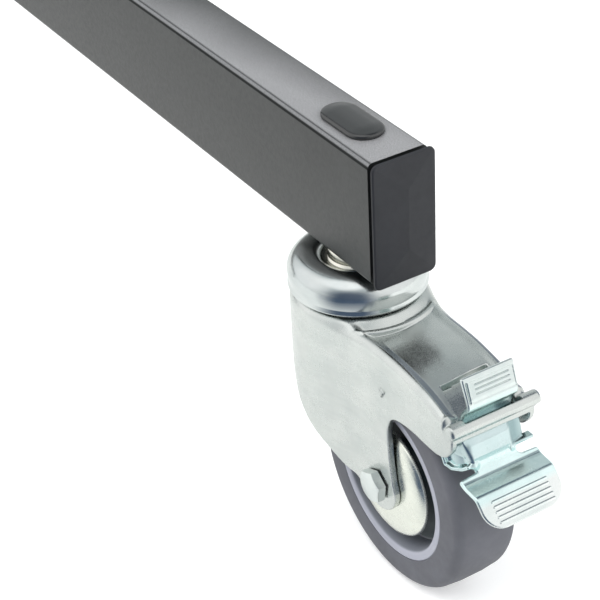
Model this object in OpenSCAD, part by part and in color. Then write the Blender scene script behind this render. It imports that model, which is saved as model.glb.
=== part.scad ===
/* [Base] */
// Distance from the column axis to the face of a leg's end cap
leg_reach = 500; // [420:10:620]
// Height of the rectangular leg tube
leg_h = 55; // [50:1:62]
// Width of the rectangular leg tube
leg_w = 28; // [28:1:34]
// Wall of the leg tube
leg_wall = 2; // [1.5:0.25:2.25]
// Outer corner radius of the leg tube
leg_corner = 2.5; // [2.25:0.25:3.5]
// Distance from the cap face back to the castor axis
castor_inset = 36.5; // [34:0.5:44]
// Thickness of the two hub plates
hub_plate_t = 5; // [4:0.5:8]
// Distance from the column axis to the outer hub bolts
hub_bolt_r = 92; // [84:1:110]
// Spacing between the two bolts of one leg
hub_bolt_gap = 40; // [32:1:46]
// Diameter of the hub bolts
hub_bolt_d = 10; // [8:1:12]

/* [End cap and hole plug] */
// How far the cap flange stands out past the tube walls
cap_proud = 0.8; // [0:0.1:1.5]
// Thickness of the cap flange
cap_t = 4; // [3:0.5:6]
// Length of the ribbed insert inside the tube
cap_insert = 14; // [10:1:16]
// Length of the oval plug over the socket hole
plug_l = 33; // [30:1:38]
// Width of the oval plug
plug_w = 16.6; // [15:0.2:18]
// Height of the plug dome above the tube
plug_h = 3; // [2:0.25:4.5]

/* [Castor] */
// Wheel diameter
wheel_d = 102; // [96:1:106]
// Width of the tread
wheel_w = 30; // [28:1:32]
// Radius where the tread meets the wheel centre
rim_r = 37.2; // [35:0.1:39]
// Horizontal offset of the axle from the swivel axis
castor_offset = 41; // [38:0.5:44]
// Height of the underside of the leg above the floor
castor_h = 142; // [140:1:152]
// Diameter of the swivel head
head_d = 59.2; // [56:0.2:64]
// Sheet thickness of the castor fork
fork_t = 2.5; // [2:0.25:3]
// Width over the fork legs at the axle
fork_w = 40; // [39:0.5:43]
// Diameter of the stem bolt
stem_d = 12; // [10:1:12]
// Diameter of the axle bolt
axle_d = 8; // [8:0.5:10]
// Diameter of the bearing balls
ball_d = 6; // [5:0.5:6]
// Number of balls in the swivel race
ball_count = 16; // [12:1:18]

/* [Brake] */
// Sheet thickness of the brake lever
lever_t = 2; // [1.5:0.25:2.5]
// Width of the pedal
pedal_w = 38.5; // [34:0.5:42]
// Width of the release tab
tab_w = 24; // [20:0.5:25]
// Width of the lever body under the fork lip
lever_w = 29; // [26:0.5:31]
// Diameter of the lever pin
lever_pin_d = 5; // [4:0.5:6]
// Number of pressed ribs on the pedal
pedal_ribs = 5; // [3:1:6]

/* [Column] */
// Outer diameter of the column tube
column_d = 50; // [46:1:54]
// Length of the column tube
column_l = 860; // [800:10:1000]
// Outer diameter of the lower riser
riser_1_d = 42; // [40:1:43]
// Outer diameter of the upper riser
riser_2_d = 34; // [32:1:35]
// Wall of the column and riser tubes
tube_wall = 2.5; // [2:0.25:3]
// Length of each riser that shows above its collar when lowered
riser_show = 90; // [84:2:120]
// Height of the locking collars
collar_h = 46; // [40:1:56]
// Diameter of the spigot on top
spigot_d = 16; // [15.8:0.1:16]
// Length of the straight part of the spigot
spigot_l = 44; // [38:1:60]
// Span of the locking handles
knob_span = 62; // [54:2:76]

/* [Hidden] */
CASTOR_PARTS = ["head", "ball_race", "kingpin", "fork", "axle_bolt", "axle_nut", "axle_sleeve",
    "thread_guards", "wheel_centre", "tread", "lever_pin", "brake_lever", "brake_shoe"];
BASE_PARTS = ["end_caps", "hole_plugs", "stem_bolts", "stem_nuts", "hub_top_plate", "hub_bottom_plate",
    "hub_bolts", "column_tube", "column_collar", "column_knob", "riser_1", "riser_collar", "riser_knob",
    "riser_2", "spigot"];

round_fn = 96;
fine_fn = 48;
eps = 0.01;
// Clearances: running fit of a shaft, gap between moving bodies, easy fit of a bolt in its hole
run = 0.06;
gap = 0.3;
easy = 0.2;

// Places along one castor: x outward from the swivel axis, z up from the underside of the leg
wheel_r = wheel_d / 2;
// Height of the castor in use: never so low that the brake would meet the fork
stand_h = max(castor_h, wheel_d + 37);
axle_z = wheel_r - stand_h;
head_r = head_d / 2;
head_rim_z = -18;
head_shoulder_z = -3.2;
kingpin_flange_r = 13.5;
kingpin_r = 9;
head_seat_z = -8;
crown_z = head_rim_z - 1.8;
crown_r = head_r - 0.6;
fork_half = fork_w / 2;
neck_x = 33;
plate_drop = 1.6;
nose_x = castor_offset + 53;
leg_end_r = 13.5;
ball_ring_r = 20.5;
ball_z = crown_z + gap + ball_d / 2;
kingpin_foot_z = crown_z - fork_t - 3.4;
stem_head_h = 7.5;
stem_nut_h = 10;
washer_t = 2.5;
axle_head_h = 5.3;
axle_nut_h = 6.5;
sleeve_r = axle_d / 2 + 2;
lever_pin_x = castor_offset + 42.5;
lever_pin_z = crown_z - 19.8;

// Places of the base: z up from the floor
castor_r = leg_reach - castor_inset;
leg_z = stand_h;
column_r = column_d / 2;
leg_start = column_r + 1;
pedal_tip = castor_offset + 77.5;
reach = castor_r + pedal_tip;
base_x = -(reach - reach * cos(60) - pedal_w / 2 * sin(60)) / 2;
column_foot_z = leg_z - hub_plate_t;
column_top_z = column_foot_z + column_l;
riser_1_top_z = column_top_z + riser_show;
riser_2_top_z = riser_1_top_z + riser_show;
riser_1_l = column_l - 60;
riser_2_l = column_l - 110;

// Points on an arc about c, from angle a0 to a1
function arc(c, r, a0, a1, n = 8) =
    [for (i = [0:n]) c + r * [cos(a0 + (a1 - a0) * i / n), sin(a0 + (a1 - a0) * i / n)]];
function mix(a, b, t) = a + (b - a) * t;
function unit(v) = v / norm(v);
function left_of(v) = [-v[1], v[0]];
// Mitre direction of an open path at point i, scaled so that the strip keeps its thickness
function path_normal(p, i) =
    i == 0 ? left_of(unit(p[1] - p[0])) :
    i == len(p) - 1 ? left_of(unit(p[i] - p[i - 1])) :
    let (a = left_of(unit(p[i] - p[i - 1])), b = left_of(unit(p[i + 1] - p[i])), m = unit(a + b)) m / (m * a);
// Closed outline of a sheet that follows path p on its left side, t thick
function strip(p, t) =
    concat(p, [for (i = [len(p) - 1:-1:0]) p[i] + path_normal(p, i) * t]);

leg_turn = 120;
module leg_place(i) translate([base_x, 0, 0]) rotate(leg_turn * (i - 1)) children();
module castor_place(i) leg_place(i) translate([castor_r, 0, leg_z]) children();
module at_each_leg() for (i = [1:3]) leg_place(i) children();
module at_column() translate([base_x, 0, 0]) children();
// Draws an x-z outline as a solid w wide across y
module across(w) rotate([90, 0, 0]) linear_extrude(w, center = true) children();
module along_y(h, r, fn = fine_fn) rotate([90, 0, 0]) cylinder(h = h, r = r, center = true, $fn = fn);
module hex(af, h) cylinder(h = h, r = af / 2 / cos(30), $fn = 6);

// Leg tube and its fittings
module rounded_box_outline(h, w, r) polygon(concat(
    arc([h / 2 - r, w / 2 - r], r, 0, 90, 5), arc([-h / 2 + r, w / 2 - r], r, 90, 180, 5),
    arc([-h / 2 + r, -w / 2 + r], r, 180, 270, 5), arc([h / 2 - r, -w / 2 + r], r, 270, 360, 5)));
// Solid along x with the leg's cross-section
module leg_bar(x0, x1, grow, r) translate([x0, 0, leg_z + leg_h / 2]) rotate([0, 90, 0])
    linear_extrude(x1 - x0) rounded_box_outline(leg_h + 2 * grow, leg_w + 2 * grow, r);
module stadium(l, w, h) {
    for (s = [-1, 1]) translate([s * (l - w) / 2, 0, 0]) cylinder(h = h, r = w / 2, $fn = fine_fn);
    translate([-(l - w) / 2, -w / 2, 0]) cube([l - w, w, h]);
}
module leg_tube() color([0.16, 0.16, 0.17]) difference() {
    leg_bar(leg_start, leg_reach - cap_t, 0, leg_corner);
    leg_bar(leg_start - 1, leg_reach, -leg_wall, leg_corner - leg_wall + 0.25);
    translate([castor_r, 0, leg_z - 1]) cylinder(h = leg_wall + 2, r = stem_d / 2 + easy, $fn = fine_fn);
    translate([castor_r, 0, leg_z + leg_h - leg_wall - 1]) stadium(plug_l - 5, plug_w - 4, leg_wall + 2);
    for (k = [0, 1]) translate([hub_bolt_r - k * hub_bolt_gap, 0, leg_z - 1])
        cylinder(h = leg_h + 2, r = hub_bolt_d / 2 + easy, $fn = fine_fn);
}
module end_cap() difference() {
    union() {
        leg_bar(leg_reach - cap_t, leg_reach - 1, cap_proud, leg_corner);
        leg_bar(leg_reach - cap_t, leg_reach - 0.4, cap_proud - 0.4, leg_corner);
        leg_bar(leg_reach - cap_t, leg_reach, cap_proud - 1.2, leg_corner);
        leg_bar(leg_reach - cap_t - cap_insert, leg_reach - cap_t, -leg_wall - 0.6, 1);
        for (k = [0:3]) leg_bar(leg_reach - cap_t - 3 - 3.2 * k, leg_reach - cap_t - 2 - 3.2 * k, -leg_wall - 0.1, 1);
    }
    leg_bar(leg_reach - cap_t - cap_insert - 1, leg_reach - cap_t, -leg_wall - 2.6, 1);
}
module end_caps() color([0.13, 0.13, 0.14]) at_each_leg() end_cap();
module hole_plug() translate([castor_r, 0, leg_z + leg_h]) {
    stadium(plug_l - 1, plug_w - 1, plug_h * 0.25);
    translate([0, 0, plug_h * 0.2]) stadium(plug_l, plug_w, plug_h * 0.4);
    translate([0, 0, plug_h * 0.6 - eps]) stadium(plug_l - 1, plug_w - 1, plug_h * 0.22);
    translate([0, 0, plug_h * 0.82 - 2 * eps]) stadium(plug_l - 3.4, plug_w - 3.4, plug_h * 0.18 + 2 * eps);
    translate([0, 0, -leg_wall - 3]) stadium(plug_l - 5.4, plug_w - 4.4, leg_wall + 3 + eps);
    translate([0, 0, -leg_wall - 2]) stadium(plug_l - 4.4, plug_w - 3.4, 1.7);
}
module hole_plugs() color([0.1, 0.1, 0.1]) at_each_leg() hole_plug();
module stem_bolts() color([0.7, 0.72, 0.74]) for (i = [1:3]) castor_place(i) {
    cylinder_from(kingpin_foot_z - gap, leg_wall + washer_t + stem_nut_h + 3, stem_d / 2);
    translate([0, 0, kingpin_foot_z - stem_head_h]) hex(stem_d * 1.5, stem_head_h);
}
module cylinder_from(z0, z1, r, fn = fine_fn) translate([0, 0, z0]) cylinder(h = z1 - z0, r = r, $fn = fn);
module stem_nuts() color([0.7, 0.72, 0.74]) for (i = [1:3]) castor_place(i) difference() {
    union() {
        cylinder_from(leg_wall, leg_wall + washer_t, stem_d - 1);
        translate([0, 0, leg_wall + washer_t]) hex(stem_d * 1.5, stem_nut_h);
    }
    cylinder_from(leg_wall - 1, leg_wall + washer_t + stem_nut_h + 1, stem_d / 2 + 0.05);
}

// Hub of two plates that clamp the three legs
hub_arm_r = hub_bolt_r + hub_bolt_d * 1.6;
hub_arm_w = leg_w + 12;
hub_web_r = column_r + 35;
hub_corner = 8;
module hub_outline() polygon([for (k = [0:2]) each concat(
    [for (p = arc([hub_arm_r - hub_corner, -hub_arm_w / 2 + hub_corner], hub_corner, -90, 0, 4)) turn(p, leg_turn * k)],
    [for (p = arc([hub_arm_r - hub_corner, hub_arm_w / 2 - hub_corner], hub_corner, 0, 90, 4)) turn(p, leg_turn * k)],
    [turn([hub_web_r, 0], leg_turn * (k + 0.5))])]);
function turn(p, a) = [p[0] * cos(a) - p[1] * sin(a), p[0] * sin(a) + p[1] * cos(a)];
module hub_plate(z) color([0.16, 0.16, 0.17]) at_column() translate([0, 0, z]) difference() {
    linear_extrude(hub_plate_t) hub_outline();
    translate([0, 0, -1]) cylinder(h = hub_plate_t + 2, r = column_r + eps, $fn = round_fn);
    for (i = [0:2], k = [0, 1]) rotate(leg_turn * i) translate([hub_bolt_r - k * hub_bolt_gap, 0, -1])
        cylinder(h = hub_plate_t + 2, r = hub_bolt_d / 2 + easy, $fn = fine_fn);
}
module hub_bolts() color([0.7, 0.72, 0.74]) at_each_leg() for (k = [0, 1])
    translate([hub_bolt_r - k * hub_bolt_gap, 0, 0]) {
        top = leg_z + leg_h + hub_plate_t;
        foot = leg_z - hub_plate_t;
        cylinder_from(foot - hub_bolt_d - 2, top + eps, hub_bolt_d / 2);
        translate([0, 0, top]) hex(hub_bolt_d * 1.7, hub_bolt_d * 0.64);
        translate([0, 0, foot - hub_bolt_d * 0.8]) hex(hub_bolt_d * 1.7, hub_bolt_d * 0.8);
    }

// Telescopic column
module tube(z0, z1, r, wall) translate([0, 0, z0]) difference() {
    cylinder(h = z1 - z0, r = r, $fn = round_fn);
    translate([0, 0, -1]) cylinder(h = z1 - z0 + 2, r = r - wall, $fn = round_fn);
}
module column_tube() color([0.16, 0.16, 0.17]) at_column()
    tube(column_foot_z, column_top_z - collar_h / 2, column_r, tube_wall);
// Collar clamped on a tube of radius outer_r, guiding a riser of radius inner_r, with a screw boss on +x
module collar(top_z, outer_r, inner_r) {
    foot = top_z - collar_h;
    seat = top_z - collar_h / 2;
    difference() {
        union() {
            cylinder_from(foot, top_z - 3, outer_r + 4, round_fn);
            cylinder_from(foot + 4, top_z, outer_r + 2.5, round_fn);
            translate([0, 0, knob_z(top_z)]) rotate([0, 90, 0]) cylinder(h = boss_x(outer_r), r = 11, $fn = fine_fn);
        }
        cylinder_from(foot - 1, seat, outer_r + eps, round_fn);
        cylinder_from(seat - 1, top_z + 1, inner_r + run, round_fn);
        translate([0, 0, knob_z(top_z)]) rotate([0, 90, 0]) cylinder(h = boss_x(outer_r) + 5, r = screw_r + run, $fn = fine_fn);
    }
}
screw_r = 5;
function boss_x(outer_r) = outer_r + 14;
function knob_z(top_z) = top_z - collar_h / 4;
module column_collar() color([0.13, 0.13, 0.14]) at_column() collar(column_top_z, column_r, riser_1_d / 2);
// Locking handle: screw, hub and a cross bar with ball ends
module knob(top_z, outer_r, inner_r) translate([0, 0, knob_z(top_z)]) {
    x = boss_x(outer_r) + gap;
    rotate([0, 90, 0]) {
        cylinder_from(inner_r + gap, x + eps, screw_r);
        cylinder_from(x, x + 16, 8.5);
        cylinder_from(x + 16 - eps, x + 19, 6.5);
    }
    translate([x + 9, 0, 0]) {
        along_y(knob_span, 4);
        for (s = [-1, 1]) translate([0, s * knob_span / 2, 0]) sphere(r = 7, $fn = fine_fn);
    }
}
module column_knob() color([0.13, 0.13, 0.14]) at_column() knob(column_top_z, column_r, riser_1_d / 2);
module riser_1() color([0.62, 0.64, 0.66]) at_column()
    tube(riser_1_top_z - riser_1_l, riser_1_top_z - collar_h / 2, riser_1_d / 2, tube_wall);
module riser_collar() color([0.13, 0.13, 0.14]) at_column()
    collar(riser_1_top_z, riser_1_d / 2, riser_2_d / 2);
module riser_knob() color([0.13, 0.13, 0.14]) at_column()
    knob(riser_1_top_z, riser_1_d / 2, riser_2_d / 2);
module riser_2() color([0.62, 0.64, 0.66]) at_column()
    tube(riser_2_top_z - riser_2_l, riser_2_top_z, riser_2_d / 2, tube_wall);
module spigot() color([0.7, 0.72, 0.74]) at_column() {
    cylinder_from(riser_2_top_z - 40, riser_2_top_z, riser_2_d / 2 - tube_wall - 0.05, round_fn);
    cylinder_from(riser_2_top_z, riser_2_top_z + 8, riser_2_d / 2, round_fn);
    cylinder_from(riser_2_top_z + 8 - eps, riser_2_top_z + 14, spigot_d / 2 + 3, round_fn);
    cylinder_from(riser_2_top_z + 14 - eps, riser_2_top_z + 14 + spigot_l, spigot_d / 2, round_fn);
    translate([0, 0, riser_2_top_z + 14 + spigot_l - eps])
        cylinder(h = 1.5, r1 = spigot_d / 2, r2 = spigot_d / 2 - 1.5, $fn = round_fn);
}

// Castor, drawn with its swivel axis on z and the underside of the leg at z = 0
module head() color([0.82, 0.84, 0.84]) rotate_extrude($fn = round_fn) polygon(concat(
    [[kingpin_r + 0.1, head_seat_z - 2.2], [kingpin_r + 0.1, head_seat_z], [kingpin_flange_r + gap, head_seat_z]],
    arc([head_lip_r + 3, head_shoulder_z - 3], 3, 180, 90, 5),
    arc([head_r - 8, head_shoulder_z - 8], 8, 90, 0, 8),
    [[head_r, head_rim_z + 1.2], [head_r - 0.8, head_rim_z], [head_r - 2.2, head_rim_z], [head_r - 2.2, head_shoulder_z - 8]],
    arc([head_r - 8, head_shoulder_z - 8], 5.8, 0, 90, 8),
    arc([head_lip_r + 3, head_shoulder_z - 3], 0.8, 90, 180, 3),
    [[head_lip_r + 2.2, head_seat_z - 2.2]]));
head_lip_r = 15.5;
module ball_race() color([0.75, 0.76, 0.78]) for (k = [0:ball_count - 1])
    rotate(360 / ball_count * k) translate([ball_ring_r, 0, ball_z]) sphere(d = ball_d, $fn = 24);
module kingpin() color([0.8, 0.8, 0.78]) difference() {
    union() {
        cylinder_from(head_seat_z, 0, kingpin_flange_r);
        cylinder_from(kingpin_foot_z, head_seat_z + eps, kingpin_r);
        cylinder_from(kingpin_foot_z, kingpin_foot_z + 3, kingpin_r + 4);
    }
    cylinder_from(kingpin_foot_z - 1, 1, stem_d / 2 + easy / 2);
}

// Plan outline of the fork: round at the crown, tapering to parallel legs
neck_a = atan2(fork_half, neck_x) + acos(crown_r / norm([neck_x, fork_half]));
function fork_plan(inset, front) =
    let (r = crown_r - inset, w = fork_half - inset, x = (r - w * sin(neck_a)) / cos(neck_a))
    concat([[front, -w], [front, w], [x, w]], arc([0, 0], r, neck_a, 360 - neck_a, 36), [[x, -w]]);
// Ridge line of the fork from the crown to the nose, lowered by d
function ridge(d) = [[24, crown_z - d], [31, crown_z - 2.6 - d], [castor_offset + 8, crown_z - 2.9 - d],
    [castor_offset + 20, crown_z - 3.8 - d], [castor_offset + 33, crown_z - 6.2 - d],
    [castor_offset + 43, crown_z - 9.6 - d], [castor_offset + 49.5, crown_z - 13 - d]];
skirt_z = crown_z - 29.5;
lip_r = 3.2;
lip_z = crown_z - 13.6;
lip_foot_z = crown_z - 18.5;
module fork_side() polygon(concat(
    [[-crown_r - 2, crown_z]], ridge(0),
    [[nose_x - 0.8, crown_z - 15.2]], arc([nose_x - 11, skirt_z + 11], 11, 10, -90, 6),
    arc([castor_offset + leg_end_r + 3.5, skirt_z - 3.5], 3.5, 90, 180, 5),
    arc([castor_offset, axle_z], leg_end_r, 0, -110, 10),
    [[castor_offset - 14, axle_z - 3.5], [castor_offset - 20, axle_z - 1.5]],
    [[castor_offset - 28, axle_z + 4], [castor_offset - 38, axle_z + 12], [castor_offset - 48, axle_z + 22],
     [castor_offset - 57, axle_z + 39], [-crown_r + 5, axle_z + 47], [-crown_r - 2, axle_z + 50]]));
module fork_cavity_side() polygon(concat(
    [[-crown_r - 2, crown_z - fork_t], [21, crown_z - fork_t]],
    [for (p = ridge(plate_drop + fork_t)) [p[0] - 1, p[1]]],
    [[nose_x - 5, crown_z - plate_drop - fork_t - 12.8], [nose_x - 4, lip_foot_z],
     [nose_x + 5, lip_foot_z], [nose_x + 5, axle_z - 30], [-crown_r - 2, axle_z - 30]]));
module fork() color([0.82, 0.85, 0.84]) difference() {
    union() {
        difference() {
            intersection() {
                translate([0, 0, -stand_h]) linear_extrude(stand_h) polygon(fork_plan(0, nose_x));
                across(fork_w * 2) fork_side();
            }
            intersection() {
                translate([0, 0, -stand_h]) linear_extrude(stand_h) polygon(fork_plan(fork_t, nose_x + 9));
                across(fork_w * 2) fork_cavity_side();
            }
            across(fork_w - 7) polygon(concat([[31, 5]], [for (p = ridge(plate_drop)) if (p[0] > 30) p],
                [[nose_x - 1, crown_z - plate_drop - 13.5], [nose_x + 4, crown_z - plate_drop - 14], [nose_x + 4, 5]]));
        }
        translate([0, 0, crown_z - 1.2]) rotate_extrude($fn = round_fn) translate([crown_r - 1, 0]) circle(r = 1.7, $fn = 20);
        translate([nose_x - lip_r + 0.6, 0, lip_z]) along_y(fork_w + 1, lip_r);
    }
    cylinder_from(crown_z - fork_t - 9, crown_z + 1, kingpin_r + gap);
    translate([castor_offset, 0, axle_z]) along_y(fork_w + 4, axle_d / 2 + easy / 2);
    translate([lever_pin_x, 0, lever_pin_z]) along_y(fork_w + 4, lever_pin_d / 2 + 0.05);
    translate([0, 0, -45]) linear_extrude(45) polygon([[slot_x0, -10], [slot_x1, -13.5], [slot_x1, 13.5], [slot_x0, 10]]);
}
slot_x0 = castor_offset + 31.8;
slot_x1 = nose_x - 5.5;
module axle_bolt() color([0.8, 0.82, 0.82]) translate([castor_offset, 0, axle_z]) rotate([90, 0, 0]) {
    translate([0, 0, fork_half]) hex(13, axle_head_h);
    cylinder_from(-fork_half - axle_nut_h - 2, fork_half + eps, axle_d / 2);
}
module axle_nut() color([0.8, 0.82, 0.82]) translate([castor_offset, 0, axle_z]) rotate([90, 0, 0]) difference() {
    translate([0, 0, -fork_half - axle_nut_h]) hex(13, axle_nut_h);
    cylinder_from(-fork_half - axle_nut_h - 1, -fork_half + 1, axle_d / 2 + 0.05);
}
module axle_sleeve() color([0.7, 0.7, 0.72]) translate([castor_offset, 0, axle_z]) rotate([90, 0, 0]) difference() {
    cylinder_from(-fork_half + fork_t, fork_half - fork_t, sleeve_r);
    cylinder_from(-fork_half, fork_half, axle_d / 2 + 0.05);
}
guard_r = 26.5;
guard_face = fork_half - fork_t;
module thread_guards() color([0.78, 0.8, 0.76]) translate([castor_offset, 0, axle_z]) rotate([90, 0, 0])
    for (s = [-1, 1]) scale([1, 1, s]) rotate_extrude($fn = round_fn) polygon([
        [sleeve_r + 0.05, guard_face - 1.2], [sleeve_r + 0.05, guard_face], [11, guard_face],
        [guard_r - 2, guard_face - 2], [guard_r, guard_face - 4], [guard_r - 1, guard_face - 4.2],
        [guard_r - 2.8, guard_face - 3], [11, guard_face - 1.2]]);
hub_r = 12;
module wheel_centre() color([0.62, 0.63, 0.67]) translate([castor_offset, 0, axle_z]) rotate([90, 0, 0]) difference() {
    h = wheel_w / 2;
    rotate_extrude($fn = round_fn) polygon([
        [sleeve_r + run, -h + 0.4], [hub_r, -h + 0.4], [hub_r + 1, -4], [rim_r - 6, -4], [rim_r - 4, -h + 0.6], [rim_r - 3.6, -h],
        [rim_r, -h], [rim_r, h], [rim_r - 3.6, h], [rim_r - 4, h - 0.6], [rim_r - 6, 4], [hub_r + 1, 4], [hub_r, h - 0.4],
        [sleeve_r + run, h - 0.4]]);
    cylinder_from(-h - 1, h + 1, sleeve_r + run);
}
module tread() color([0.4, 0.4, 0.42]) translate([castor_offset, 0, axle_z]) rotate([90, 0, 0])
    rotate_extrude($fn = round_fn) polygon(concat(
        [[rim_r, -wheel_w / 2], [rim_r + 1, -wheel_w / 2 - 0.2]], arc([wheel_r - 4.3, -wheel_w / 2 + 4], 4, -90, -8, 6),
        [[wheel_r, -3], [wheel_r, 3]],
        arc([wheel_r - 4.3, wheel_w / 2 - 4], 4, 8, 90, 6), [[rim_r + 1, wheel_w / 2 + 0.2], [rim_r, wheel_w / 2]]));

// Brake: one rocker with a release tab above the fork and a pedal in front of it
module lever_pin() color([0.78, 0.8, 0.8]) translate([lever_pin_x, 0, lever_pin_z])
    along_y(fork_w - 0.2, lever_pin_d / 2);
tab_path = [[nose_x - 5.8, -12.8], [nose_x - 2.8, -22.6], [nose_x - 4.2, -26.2], [nose_x - 7.8, -29.5],
    [lever_pin_x + 2.4, lever_pin_z + 3]];
body_path = [[lever_pin_x + 1, lever_pin_z - lever_pin_d / 2 - 1.9], [nose_x - 3.5, lever_pin_z - 3.6],
    [nose_x - 0.5, lever_pin_z - 6.6], [nose_x + 3, lever_pin_z - 14.2]];
neck_path = [[nose_x + 2.2, lever_pin_z - 12.4], [nose_x + 3.6, lever_pin_z - 15.4], [nose_x + 6, lever_pin_z - 16.8],
    [nose_x + 12.5, lever_pin_z - 17.2]];
pedal_path = concat([for (k = [1:3]) neck_path[k]], [[nose_x + 24.4, lever_pin_z - 28.2]]);
cheek = [[lever_pin_x - 2, lever_pin_z - 3], [lever_pin_x, lever_pin_z - 12], [lever_pin_x + 2.5, lever_pin_z - 15.6],
    [lever_pin_x + 7, lever_pin_z - 17], [nose_x + 1, lever_pin_z - 15.4], [nose_x + 2.2, lever_pin_z - 14],
    [nose_x - 1.2, lever_pin_z - 6.4], [nose_x - 4, lever_pin_z - 3.4]];
function rib_x(t) = mix(pedal_path[2][0], pedal_path[3][0], t) + (lever_t - 0.1) * sin(44);
function rib_z(t) = mix(pedal_path[2][1], pedal_path[3][1], t) + (lever_t - 0.1) * cos(44);
ear_reach = 18;
rib_r = 0.7;
module pedal_outline() polygon(concat(
    [[nose_x + 2, -pedal_w / 2 + 1], [nose_x + 12, -pedal_w / 2 + 1.2]],
    arc([nose_x + 18, -pedal_w / 2 + 6], 6, -80, 0, 5), arc([nose_x + 18, pedal_w / 2 - 6], 6, 0, 80, 5),
    [[nose_x + 12, pedal_w / 2 - 1.2], [nose_x + 2, pedal_w / 2 - 1]]));
module brake_lever() color([0.8, 0.84, 0.84]) difference() {
    union() {
        across(tab_w) polygon(strip(tab_path, -lever_t));
        translate([lever_pin_x, 0, lever_pin_z]) along_y(lever_w, lever_pin_d / 2 + lever_t);
        across(lever_w) polygon(strip(body_path, lever_t));
        for (side = [-1, 1]) translate([0, side * (lever_w - lever_t) / 2, 0]) across(lever_t) polygon(cheek);
        translate([0, -1.5, 0]) across(19) polygon(strip(neck_path, lever_t));
        translate([nose_x - 3, 6, lever_pin_z - 12]) cube([4.5, ear_reach - 6, lever_t * 0.75]);
        for (k = [0:pedal_ribs - 1]) let (t = (k + 0.7) / (pedal_ribs + 0.4))
            translate([rib_x(t), 0, rib_z(t)]) along_y(pedal_w - 11, rib_r, 16);
        for (k = [0:2]) let (t = 0.3 + 0.2 * k)
            translate([mix(tab_path[0][0], tab_path[1][0], t), 0, mix(tab_path[0][1], tab_path[1][1], t)])
                along_y(tab_w - 8, rib_r, 16);
        intersection() {
            across(pedal_w) polygon(strip(pedal_path, lever_t));
            translate([0, 0, -stand_h]) linear_extrude(stand_h) pedal_outline();
        }
    }
    translate([lever_pin_x, 0, lever_pin_z]) along_y(lever_w + 2, lever_pin_d / 2 + run);
}
// Curved shoe over the tread, hung from the lever's barrel by a web that points at the axle
shoe_gap = 3.4;
shoe_t = 4;
shoe_w = 22;
shoe_mid = atan2(lever_pin_z - axle_z, lever_pin_x - castor_offset);
shoe_a0 = shoe_mid - 11.4;
shoe_a1 = shoe_mid + 9.6;
shoe_r = wheel_r + shoe_gap;
web_half = 3;
web_top = norm([lever_pin_x - castor_offset, lever_pin_z - axle_z]) - lever_pin_d / 2 - 0.8;
module brake_shoe() color([0.7, 0.72, 0.72]) difference() {
    translate([castor_offset, 0, axle_z]) union() {
        across(shoe_w) polygon(concat(arc([0, 0], shoe_r, shoe_a0, shoe_a1, 10),
            arc([0, 0], shoe_r + shoe_t, shoe_a1, shoe_a0, 10)));
        across(shoe_w - 8) polygon([for (p = [[shoe_r + 1, -web_half], [web_top, -web_half],
            [web_top, web_half], [shoe_r + 1, web_half]]) turn(p, shoe_mid)]);
    }
    translate([lever_pin_x, 0, lever_pin_z]) along_y(shoe_w + 2, lever_pin_d / 2 + lever_t + eps);
    translate([castor_offset, 0, axle_z]) along_y(shoe_w + 2, shoe_r, round_fn);
}

module castor_part(p) {
    if (p == "head") head();
    if (p == "ball_race") ball_race();
    if (p == "kingpin") kingpin();
    if (p == "fork") fork();
    if (p == "axle_bolt") axle_bolt();
    if (p == "axle_nut") axle_nut();
    if (p == "axle_sleeve") axle_sleeve();
    if (p == "thread_guards") thread_guards();
    if (p == "wheel_centre") wheel_centre();
    if (p == "tread") tread();
    if (p == "lever_pin") lever_pin();
    if (p == "brake_lever") brake_lever();
    if (p == "brake_shoe") brake_shoe();
}

for (i = [1:3]) leg_place(i) leg_tube();
end_caps();
hole_plugs();
stem_bolts();
stem_nuts();
hub_plate(leg_z + leg_h);  // hub_top_plate
hub_plate(leg_z - hub_plate_t);  // hub_bottom_plate
hub_bolts();
column_tube();
column_collar();
column_knob();
riser_1();
riser_collar();
riser_knob();
riser_2();
spigot();
for (i = [1:3], p = CASTOR_PARTS)
    castor_place(i) castor_part(p);
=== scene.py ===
import math

import bpy
import numpy as np
from mathutils import Matrix, Vector


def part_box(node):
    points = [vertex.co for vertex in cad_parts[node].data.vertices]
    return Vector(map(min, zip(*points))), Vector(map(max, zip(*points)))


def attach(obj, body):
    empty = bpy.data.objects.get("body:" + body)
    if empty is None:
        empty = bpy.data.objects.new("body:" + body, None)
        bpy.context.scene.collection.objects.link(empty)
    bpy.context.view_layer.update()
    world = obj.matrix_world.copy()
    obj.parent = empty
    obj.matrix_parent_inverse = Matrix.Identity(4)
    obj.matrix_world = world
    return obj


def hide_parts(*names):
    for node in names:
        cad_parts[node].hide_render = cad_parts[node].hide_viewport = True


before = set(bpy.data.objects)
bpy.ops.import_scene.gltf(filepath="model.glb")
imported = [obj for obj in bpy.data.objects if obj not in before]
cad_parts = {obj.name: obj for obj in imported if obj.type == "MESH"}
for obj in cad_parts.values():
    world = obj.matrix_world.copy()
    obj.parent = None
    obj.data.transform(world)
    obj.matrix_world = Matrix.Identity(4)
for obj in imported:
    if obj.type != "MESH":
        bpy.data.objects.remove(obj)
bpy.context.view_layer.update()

MM = 0.001
TAU = 2 * math.pi

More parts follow.
